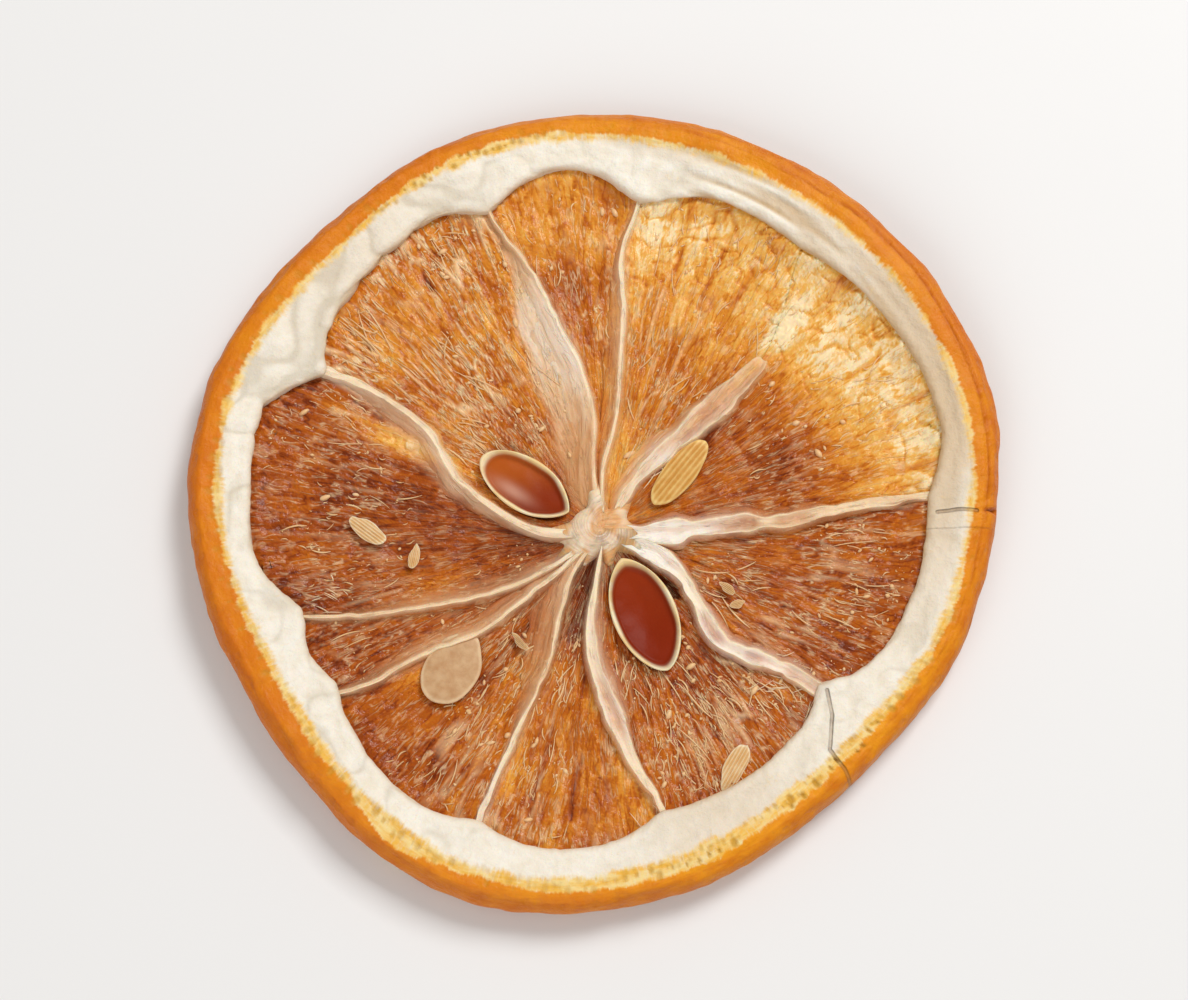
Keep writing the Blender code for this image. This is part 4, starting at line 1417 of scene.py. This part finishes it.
def membrane_surface(index, sizes):
    """One membrane as a closed tube: its section carried along its path, with lines and creases."""
    row = MEMBRANES[index]
    share = np.linspace(0.05, 1.015, int(21.0 * MM / sizes.grain / 1.2))
    x, y, slope, distance = membrane_path(index, share)
    there = smooth_step(row.end + 0.6 * MM, row.end - 0.6 * MM, distance)
    half = eased(distance, BAND_PLACES, row.band) / 2.0
    half = half * (0.72 + 0.28 * smooth_step(0.4 * MM, 0.9 * MM, 2.0 * half))
    half = half * ragged(share, 18.0, index, 0.35)
    half = half * smooth_step(0.0, 0.12, share) * (0.15 + 0.85 * there)
    films = [film_width(index, side, share, distance) for side in (0, 1)]
    rise = 0.1 * MM * share**10
    ridge = sizes.crest_top + rise + 0.1 * MM * (ragged(share, 12.0, index + 50, 1.0) - 1.0)
    ridge = ridge - (sizes.crest_top - sizes.pulp_top + 0.5 * MM) * (1.0 - there)
    low_ridge = sizes.crest_bottom * (1.0 - 0.5 * share**8)
    offset, height, out, across, top, side = membrane_section(
        sizes, half, films[0], films[1], ridge, low_ridge
    )
    still = 0.0 * offset
    px = x[:, None] - slope[1][:, None] * offset
    py = y[:, None] + slope[0][:, None] * offset
    along, beyond = distance[:, None] + still, np.maximum(np.abs(offset) - half[:, None], 0.0)
    long_lines = smooth_noise(along / (4.0 * MM), offset / (0.25 * MM), still + index, 1.0, 531)
    crumple = layered_noise(px, py, height, 1.2 * MM, 541, 2)
    pleats = smooth_noise(along / (0.5 * MM), offset / (1.2 * MM), still + index, 1.0, 532)
    height = height + (0.06 * long_lines + 0.1 * crumple * (0.4 + out) + 0.05 * pleats) * MM
    wide = smooth_step(0.5 * MM, 1.0 * MM, 2.0 * half)[:, None]
    worn = 0.62 + 0.5 * smooth_noise(along / (1.6 * MM), side * 3.0, still + index, 1.0, 551)
    cream = ((1.0 - wide) + wide * np.abs(across) ** 5) * (out == 0.0)
    cream = cream + np.exp(-((beyond / (0.1 * MM)) ** 2)) * (out > 0.0)
    spread = share[:, None] + still
    cover = [film_cover(index, number, spread, along, beyond) for number in (0, 1)]
    clear = wide * (1.0 - across**2) * smooth_step(5.5 * MM, 9.0 * MM, along)
    cover = np.where(out == 0.0, 0.95 - 0.6 * clear, np.where(side < 0.0, cover[0], cover[1]))
    angle = np.degrees(np.arctan2(py - CORE_Y, px - CORE_X)) % 360.0
    reach = along / pith_distance(angle)
    golds = [cell_fields(cell, reach, angle, along, px, py) for cell in ((index - 1) % CELLS, index)]
    gold = np.where(side < 0.0, golds[0][0], golds[1][0])
    shown = (0.7 + 0.3 * top) * there[:, None]
    fields = {
        "gold": gold,
        "ridge": 0.25 + still,
        "fibrous": 0.3 + still,
        "film": cover * shown,
        "tone": film_tone(index, along) - 0.15 * out,
        "thread": 0.0 * still,
        "cream": np.clip(cream * worn, 0.0, 1.0) * shown,
        "hollow": 0.0 * still,
        "grain": np.stack([along, offset, still], axis=-1),
    }
    return curled(px, py, np.clip(height, 0.05 * MM, None)), fields


def core_surface(sizes):
    """The core as a closed dome: an oval with knobs and an arm towards each group of membranes."""
    angle = np.linspace(0.0, 360.0, 360, endpoint=False)[None, :]
    reach = 1.8 * MM + 0.25 * MM * np.cos(2.0 * np.radians(wrapped(angle, -8.0)))
    for direction, more in CORE_ARMS:
        reach = reach + more * bell(angle, direction, ARM_HALF)
    turn = np.radians(np.linspace(3.0, 177.0, 96))[:, None]
    distance = reach * np.sin(turn) ** 0.8
    middle = (sizes.crest_top + sizes.crest_bottom) / 2.0
    half = (sizes.crest_top - sizes.crest_bottom) / 2.0 + 0.18 * MM
    x, y = flat_places(angle, distance)
    x, y = x - 0.25 * MM, y + 0.1 * MM
    still = 0.0 * x
    height = middle + half * np.cos(turn)
    knobs = layered_noise(x, y, 0.5 * height, 1.0 * MM, 601, 2)
    height = height + 0.15 * MM * knobs
    around = np.radians(angle) * 4.0
    height = height + 0.06 * MM * smooth_noise(distance / (1.5 * MM), around, still, 1.0, 602)
    fields = {
        "gold": 0.7 + still,
        "ridge": 0.3 + still,
        "fibrous": 0.3 + still,
        "film": 0.5 + 0.45 * smooth_step(-0.35, 0.15, knobs),
        "tone": 0.56 + 0.2 * smooth_step(-0.4, 0.4, knobs),
        "thread": still,
        "cream": 0.8 * smooth_step(-0.2, 0.4, knobs) * smooth_step(0.3, 0.8, distance / reach),
        "hollow": still,
        "grain": np.stack([distance, np.radians(angle) * distance, still], axis=-1),
    }
    return curled(x, y, np.clip(height, 0.1 * MM, None)), fields


# ---------------------------------------------------------------------------------------------------
# Seeds, flakes and fibres


def seed_ring(turns, tail, tip):
    """A seed's outline of unit half length and half width; the larger the number, the sharper that end."""
    x, y = np.cos(turns), np.sin(turns)
    sharp = tail + (tip - tail) * (0.5 + 0.5 * x)
    return x, np.sign(y) * np.abs(y) ** (1.0 + sharp)


def turned(seed, along, across):
    """Plan places of points given along and across a seed."""
    turn = math.radians(seed[2])
    return (
        seed[0] + along * math.cos(turn) - across * math.sin(turn),
        seed[1] + along * math.sin(turn) + across * math.cos(turn),
    )


def cut_seed(seed, ends, base, rim, bulge):
    """A cut seed: a thin cup whose section goes up the outside, over the rim and down to the inside.

    ends is how sharp its two ends are. base and rim are heights, and bulge is how far the inside's middle
    stands above its edge.
    """
    turns = np.linspace(0.0, 2.0 * math.pi, 140, endpoint=False)[None, :]
    wall = 0.14 * MM
    section = []
    for turn in np.linspace(0.12, 1.0, 12) * math.pi / 2.0:
        section.append((math.sin(turn), base + (rim - 0.1 * MM - base) * (1.0 - math.cos(turn)), 0.0, 0.0))
    for share in (0.25, 0.5, 0.75):
        section.append((1.0, rim - 0.1 * MM + 0.1 * MM * math.sin(math.pi * share), share, 0.0))
    for share in np.linspace(0.0, 0.97, 26):
        dip = 0.4 * MM * min(share * 7.0, 1.0)
        height = rim - 0.1 * MM - dip + bulge * math.sin(share * math.pi / 2.0) ** 2
        section.append((1.0 - share, height, 1.0, min(share * 12.0, 1.0)))
    scale, height, inward, inside = (np.array(values)[:, None] for values in zip(*section))
    x, y = seed_ring(turns, *ends)
    uneven = 0.7 * smooth_noise(x * 2.0, y * 2.0, 0.0 * x, 1.0, 702)
    wall = wall * (1.0 + uneven + 1.2 * np.maximum(-x, 0.0) ** 6)
    along = x * (seed[3] - wall * inward) * scale
    across = y * (seed[4] - wall * inward) * scale
    px, py = turned(seed, along, across)
    height = height + 0.05 * MM * layered_noise(px, py, 0.0 * px, 1.1 * MM, 701, 2)
    # Painted highlight: where the pale patch on the skin lies, in place of a reflection.
    sheen = ((along / seed[3] + 0.15) / 0.4) ** 2 + ((across / seed[4] + 0.42) / 0.25) ** 2
    fields = {
        "inside": inside + 0.0 * px,
        # Lighter away from the tip and to one side: partly painted shade over the skin's bulge.
        "shade": 0.55 - 0.75 * along / seed[3] + 0.2 * across / seed[4],
        "sheen": np.exp(-sheen),
    }
    return curled(px, py, height), fields


def laid_seed(seed, middle, half_height, ends=(0.0, 0.25), ribs=0.0, rough=0.08):
    """A flat seed: a squashed ball with a thin edge and, where asked, ribs along it."""
    turns = np.linspace(0.0, 2.0 * math.pi, 96, endpoint=False)[None, :]
    rise = np.radians(np.linspace(-86.0, 86.0, 40))[:, None]
    x, y = seed_ring(turns, *ends)
    uneven = 1.0 + rough * smooth_noise(x * 1.6, y * 1.6 + seed[2], 0.0 * x, 1.0, 712)
    along, across = x * seed[3] * np.cos(rise) * uneven, y * seed[4] * np.cos(rise) * uneven
    px, py = turned(seed, along, across)
    height = middle + half_height * np.sign(np.sin(rise)) * np.abs(np.sin(rise)) ** 0.8
    height = height + ribs * np.cos(19.0 * across / seed[4]) * np.sin(np.abs(rise))
    height = height + 0.05 * MM * layered_noise(px, py, 0.0 * px, 1.2 * MM, 711, 3)
    fields = {
        # Painted shade: 1 in the valleys between the ribs.
        "rib": 0.5 - 0.5 * np.cos(19.0 * across / seed[4]) if ribs else 0.0 * px,
        "edge": smooth_step(0.86, 0.97, np.cos(rise)) + 0.0 * px,
    }
    return curled(px, py, height), fields


def pulp_places(rng, count, low, high):
    """Random places on the pulp, between two shares of the way to the pith.

    There are more in the fibrous cells, and they gather where a slow noise is high.
    """
    starts = np.array([row.path[-1] for row in MEMBRANES])
    widths = np.append(starts[1:], starts[0] + 360.0) - starts
    weights = widths * np.array([row[6] for row in CELL_ROWS])
    cells = rng.choice(CELLS, 2 * count, p=weights / weights.sum())
    count = len(cells)
    share = np.sqrt(rng.uniform(low**2, high**2, count))
    across = rng.uniform(0.05, 0.95, count)
    angle = np.zeros(count)
    for index in range(CELLS):
        own = cells == index
        start, end = membrane_angle(index, share[own]), membrane_angle(index + 1, share[own])
        angle[own] = start + (end - start) * across[own]
    x, y = flat_places(angle, share * pith_distance(angle))
    gathered = smooth_noise(x, y, 0.0 * x, 2.5 * MM, 801) + rng.normal(0.0, 0.15, count)
    chosen = np.argsort(-gathered)[: count // 2]
    return cells[chosen], angle[chosen], share[chosen], across[chosen]


def pulp_surface_heights(cells, angle, share, across, sizes):
    """Places and heights on top of the pulp."""
    x, y, height = (np.zeros(len(cells)) for _ in range(3))
    for index in range(CELLS):
        own = cells == index
        x[own], y[own], height[own], _ = pulp_height(
            index, angle[own], share[own], across[own], sizes, True
        )
    return x, y, height


def spindle(rows=3, columns=4, bend=0.0):
    """A small pointed rod along X, of unit half length and half thickness, bent sideways by a parabola."""
    along = np.linspace(-0.85, 0.85, rows)[:, None]
    turn = np.linspace(0.0, 2.0 * math.pi, columns, endpoint=False)[None, :]
    thick = 1.0 - along**2 * 0.9
    return np.stack(
        np.broadcast_arrays(along, thick * np.cos(turn) + bend * along**2, thick * np.sin(turn)), axis=-1
    )


def rods(x, y, height, heading, tilt, half_length, half_width):
    """Axes and origins of small rods: each points along its heading, tilted up."""
    along = np.stack(
        [np.cos(heading) * np.cos(tilt), np.sin(heading) * np.cos(tilt), np.sin(tilt)], axis=-1
    )
    sideways = np.stack([-np.sin(heading), np.cos(heading), 0.0 * heading], axis=-1)
    up = np.cross(along, sideways)
    axes = np.stack(
        [along * half_length[:, None], sideways * half_width[:, None], up * half_width[:, None]], axis=1
    )
    return axes, curled(x, y, height)


def fibre_ends(sizes):
    """Bright fibres on the pulp: rods along the rays, and more scattered ones beside the pith."""
    rng = np.random.default_rng(811)
    cells, angle, share, across = (
        np.concatenate(parts)
        for parts in zip(
            pulp_places(rng, sizes.fibres, 0.3, 0.96), pulp_places(rng, sizes.fibres // 6, 0.93, 0.995)
        )
    )
    x, y, height = pulp_surface_heights(cells, angle, share, across, sizes)
    count = len(x)
    edge = share > 0.93
    loose = np.array([row[6] for row in CELL_ROWS])[cells]
    heading = np.radians(angle) + rng.normal(0.0, 0.12, count)
    heading = heading + rng.normal(0.0, 0.7, count) * np.maximum(edge, 0.8 - loose).clip(0.0)
    heading = heading + math.pi * rng.integers(0, 2, count)
    tilt = rng.uniform(-0.1, 0.1, count) + 0.15 * edge
    half_length = rng.gamma(2.0, 0.16, count).clip(0.1, 1.3) * MM * (0.5 + loose)
    half_width = rng.uniform(0.025, 0.05, count) * MM
    return spindle(6, 4, 2.0), rods(x, y, height + 0.01 * MM, heading, tilt, half_length, half_width)


def tufts(sizes):
    """Tufts of pale fibres where the cut frayed the membranes and the pith."""
    rng = np.random.default_rng(841)
    counts = [tuft[3] for tuft in TUFTS]
    direction, distance, heading = (
        np.repeat([tuft[part] for tuft in TUFTS], counts) for part in range(3)
    )
    count = len(direction)
    distance = distance + rng.normal(0.0, 0.8 * MM, count)
    angle = direction + np.degrees(rng.normal(0.0, 0.7 * MM, count) / distance)
    x, y = flat_places(angle, distance)
    turn = np.radians(heading) + rng.normal(0.0, 0.4, count)
    height = sizes.pulp_top + rng.uniform(0.0, 0.2, count) * MM
    height = height + 0.5 * (sizes.rim_top - sizes.pulp_top) * smooth_step(
        -0.3 * MM, 0.6 * MM, distance - pith_distance(angle)
    )
    half_length = rng.gamma(3.0, 0.17, count).clip(0.2, 1.1) * MM
    half_width = rng.uniform(0.022, 0.04, count) * MM
    tilt = rng.uniform(-0.1, 0.15, count)
    return spindle(8, 5, 1.2), rods(x, y, height, turn, tilt, half_length, half_width)


def long_fibres(sizes):
    """Long pale fibres that cross the fibrous cells in loose curves."""
    rng = np.random.default_rng(831)
    cells, angle, share, across = pulp_places(rng, sizes.long_fibres, 0.35, 0.93)
    x, y, height = pulp_surface_heights(cells, angle, share, across, sizes)
    count = len(x)
    loose = np.array([row[6] for row in CELL_ROWS])[cells]
    heading = np.radians(angle) + rng.normal(0.0, 0.28, count) + math.pi * rng.integers(0, 2, count)
    half_length = rng.gamma(3.0, 0.32, count).clip(0.3, 2.2) * MM * (0.4 + 0.6 * loose)
    half_width = rng.uniform(0.03, 0.06, count) * MM
    return spindle(12, 5, 3.5), rods(
        x, y, height + 0.03 * MM, heading, rng.uniform(-0.04, 0.04, count), half_length, half_width
    )


def crumbs(sizes):
    """Small pale crumbs on the pulp, which also stand in for its tiny glints as painted highlights."""
    rng = np.random.default_rng(821)
    cells, angle, share, across = pulp_places(rng, sizes.crumbs, 0.15, 0.97)
    x, y, height = pulp_surface_heights(cells, angle, share, across, sizes)
    count = len(x)
    size = rng.gamma(1.6, 0.03, count).clip(0.03, 0.2) * MM
    return spindle(4, 6), rods(
        x, y, height + 0.02 * MM, rng.uniform(0.0, math.tau, count), rng.uniform(-0.3, 0.3, count),
        size * rng.uniform(1.0, 2.5, count), size,
    )


# ---------------------------------------------------------------------------------------------------
# Operators


def settings(context):
    """The sizes and the colours."""
    return context.scene.lemon_sizes, context.scene.lemon_colours


def dress(piece, material):
    """Gives a piece its material."""
    piece.data.materials.append(material)
    return piece


class LEMON_OT_rind(bpy.types.Operator):
    """Builds the peel and the pith, one ring with a fine surface"""

    bl_idname = "lemon.rind"
    bl_label = "Build Rind"

    def execute(self, context):
        sizes, colours = settings(context)
        points, fields = rind_surface(sizes)
        rind = surface_object("rind", points, fields, ring=True)
        placed(dress(rind, rind_finish(colours)), "rind", "slice")
        return {"FINISHED"}


class LEMON_OT_pulp(bpy.types.Operator):
    """Builds the ten panels of dried pulp"""

    bl_idname = "lemon.pulp"
    bl_label = "Build Pulp"

    def execute(self, context):
        sizes, colours = settings(context)
        material = flesh_finish(colours, "pulp")
        for index in range(CELLS):
            piece = surface_object(f"pulp_{index + 1}", *pulp_panel(index, sizes))
            placed(dress(piece, material), "dried_fruit", "slice")
        return {"FINISHED"}


class LEMON_OT_membranes(bpy.types.Operator):
    """Builds the ten membranes and the core they meet in"""

    bl_idname = "lemon.membranes"
    bl_label = "Build Membranes"

    def execute(self, context):
        sizes, colours = settings(context)
        material = flesh_finish(colours, "membrane")
        for index in range(CELLS):
            piece = surface_object(f"membrane_{index + 1}", *membrane_surface(index, sizes))
            placed(dress(piece, material), "membrane", "slice")
        placed(dress(surface_object("core", *core_surface(sizes)), material), "membrane", "slice")
        return {"FINISHED"}


class LEMON_OT_seeds(bpy.types.Operator):
    """Builds the two cut seeds and the two flat ones"""

    bl_idname = "lemon.seeds"
    bl_label = "Build Seeds"

    def execute(self, context):
        sizes, colours = settings(context)
        top = sizes.crest_top
        left = seed_finish(colours, "seed_left", (0.25, 0.028, 0.004), colours.seed_inside_light, 0.45)
        right = seed_finish(colours, "seed_right", colours.seed_inside, (0.27, 0.028, 0.004), 0.0)
        made = (
            ("seed_left", (0.1, 0.5), 0.1 * MM, left),
            ("seed_right", (0.4, 0.25), -0.35 * MM, right),
        )
        for name, ends, bulge, material in made:
            surface = cut_seed(CUT_SEEDS[name], ends, CUT_SEED_BASE, top, bulge)
            placed(dress(surface_object(name + "_fine", *surface), material), "seed_coat", name)
        beige = plain_finish("seed_flat", (0.5, 0.265, 0.115), (0.82, 0.6, 0.36), 0.5, tint=0.02)
        yellow = plain_finish("seed_side", (0.6, 0.28, 0.05), (0.88, 0.63, 0.24), 0.5)
        level = sizes.pulp_top + 0.15 * MM
        flat = laid_seed(LAID_SEEDS["seed_flat"], level, 0.35 * MM)
        ribbed = laid_seed(LAID_SEEDS["seed_side"], level, 0.35 * MM, (0.2, 0.3), 0.05 * MM)
        placed(dress(surface_object("seed_flat_fine", *flat), beige), "seed_coat", "seed_flat")
        placed(dress(surface_object("seed_side_fine", *ribbed), yellow), "seed_coat", "seed_side")
        return {"FINISHED"}


class LEMON_OT_bits(bpy.types.Operator):
    """Scatters the loose flakes and the bright fibre ends"""

    bl_idname = "lemon.bits"
    bl_label = "Scatter Bits"

    def execute(self, context):
        sizes, _ = settings(context)
        pale = plain_finish("flake", (0.66, 0.38, 0.14), (0.88, 0.72, 0.48), 0.5)
        level = sizes.pulp_top + 0.1 * MM
        flakes = [laid_seed(flake, level, 0.15 * MM, (0.4, 0.7), 0.05 * MM, 0.2) for flake in FLAKES]
        placed(dress(joined_object("flakes", flakes), pale), "dried_fruit", "slice")
        bright = plain_finish("fibre", (0.74, 0.36, 0.12), (0.93, 0.7, 0.42), 0.35, 2.0 * MM)
        white = plain_finish("tuft", (0.8, 0.52, 0.26), (0.93, 0.8, 0.58), 0.5)
        placed(dress(scattered_object("tufts", *tufts(sizes), {}), white), "dried_fruit", "slice")
        kinds = {"fibre_ends": fibre_ends, "long_fibres": long_fibres, "crumbs": crumbs}
        for name, scatter in kinds.items():
            piece = scattered_object(name, *scatter(sizes), {})
            placed(dress(piece, bright), "dried_fruit", "slice")
        return {"FINISHED"}


class LEMON_OT_stage(bpy.types.Operator):
    """Sets the floor, the soft lights and the camera"""

    bl_idname = "lemon.stage"
    bl_label = "Set Stage"

    def execute(self, context):
        _, colours = settings(context)
        corners = np.array([(-1.0, -1.0, 0.0), (1.0, -1.0, 0.0), (1.0, 1.0, 0.0), (-1.0, 1.0, 0.0)])
        quad, no_triangles = np.array([[0, 1, 2, 3]]), np.zeros((0, 3), int)
        floor = mesh_object("floor", corners * FLOOR_HALF, quad, no_triangles, {})
        dress(floor, floor_finish(colours))
        for name, place, size, power in LIGHTS:
            light = bpy.data.lights.new(name, "AREA")
            light.size = size
            light.energy = power
            lamp = bpy.data.objects.new(name, light)
            lamp.location = place
            lamp.rotation_euler = (-Vector(place)).to_track_quat("-Z", "Y").to_euler()
            context.scene.collection.objects.link(lamp)
        world = bpy.data.worlds.new("studio")
        world.use_nodes = True
        world.node_tree.nodes["Background"].inputs["Color"].default_value = WORLD_COLOUR
        world.node_tree.nodes["Background"].inputs["Strength"].default_value = WORLD_STRENGTH
        context.scene.world = world
        context.scene.view_settings.view_transform = "Standard"
        self.add_camera(context)
        return {"FINISHED"}

    def add_camera(self, context):
        """A long lens that looks down on the slice from in front of it."""
        low, high = CAD_BOX
        middle = (low + high) / 2.0
        tilt = math.radians(CAMERA_TILT)
        data = bpy.data.cameras.new("camera")
        data.lens = CAMERA_LENS
        data.clip_start = 0.01
        camera = bpy.data.objects.new("camera", data)
        camera.location = middle + Vector((0.0, -math.cos(tilt), math.sin(tilt))) * CAMERA_DISTANCE
        camera.rotation_euler = (middle - camera.location).to_track_quat("-Z", "Y").to_euler()
        context.scene.collection.objects.link(camera)
        context.scene.camera = camera


class LEMON_PT_panel(bpy.types.Panel):
    """Lists the slice's sizes, colours and pieces"""

    bl_idname = "LEMON_PT_panel"
    bl_label = "Dried Lemon Slice"
    bl_space_type = "VIEW_3D"
    bl_region_type = "UI"
    bl_category = "Lemon"

    def draw(self, context):
        for group in settings(context):
            box = self.layout.box()
            for name in group.__annotations__:
                box.prop(group, name)
        for operator in OPERATORS:
            self.layout.operator(operator.bl_idname)


OPERATORS = (
    LEMON_OT_rind,
    LEMON_OT_pulp,
    LEMON_OT_membranes,
    LEMON_OT_seeds,
    LEMON_OT_bits,
    LEMON_OT_stage,
)
CLASSES = (LemonSizes, LemonColours, *OPERATORS, LEMON_PT_panel)


def register():
    """Registers the classes and adds the sizes and colours to the scene."""
    for made in CLASSES:
        bpy.utils.register_class(made)
    bpy.types.Scene.lemon_sizes = PointerProperty(type=LemonSizes)
    bpy.types.Scene.lemon_colours = PointerProperty(type=LemonColours)


def unregister():
    """Takes away what register added."""
    del bpy.types.Scene.lemon_colours
    del bpy.types.Scene.lemon_sizes
    for made in reversed(CLASSES):
        bpy.utils.unregister_class(made)


def main():
    """Builds every piece."""
    register()
    bpy.ops.lemon.rind()
    bpy.ops.lemon.pulp()
    bpy.ops.lemon.membranes()
    bpy.ops.lemon.seeds()
    bpy.ops.lemon.bits()
    bpy.ops.lemon.stage()


if __name__ == "__main__":
    main()
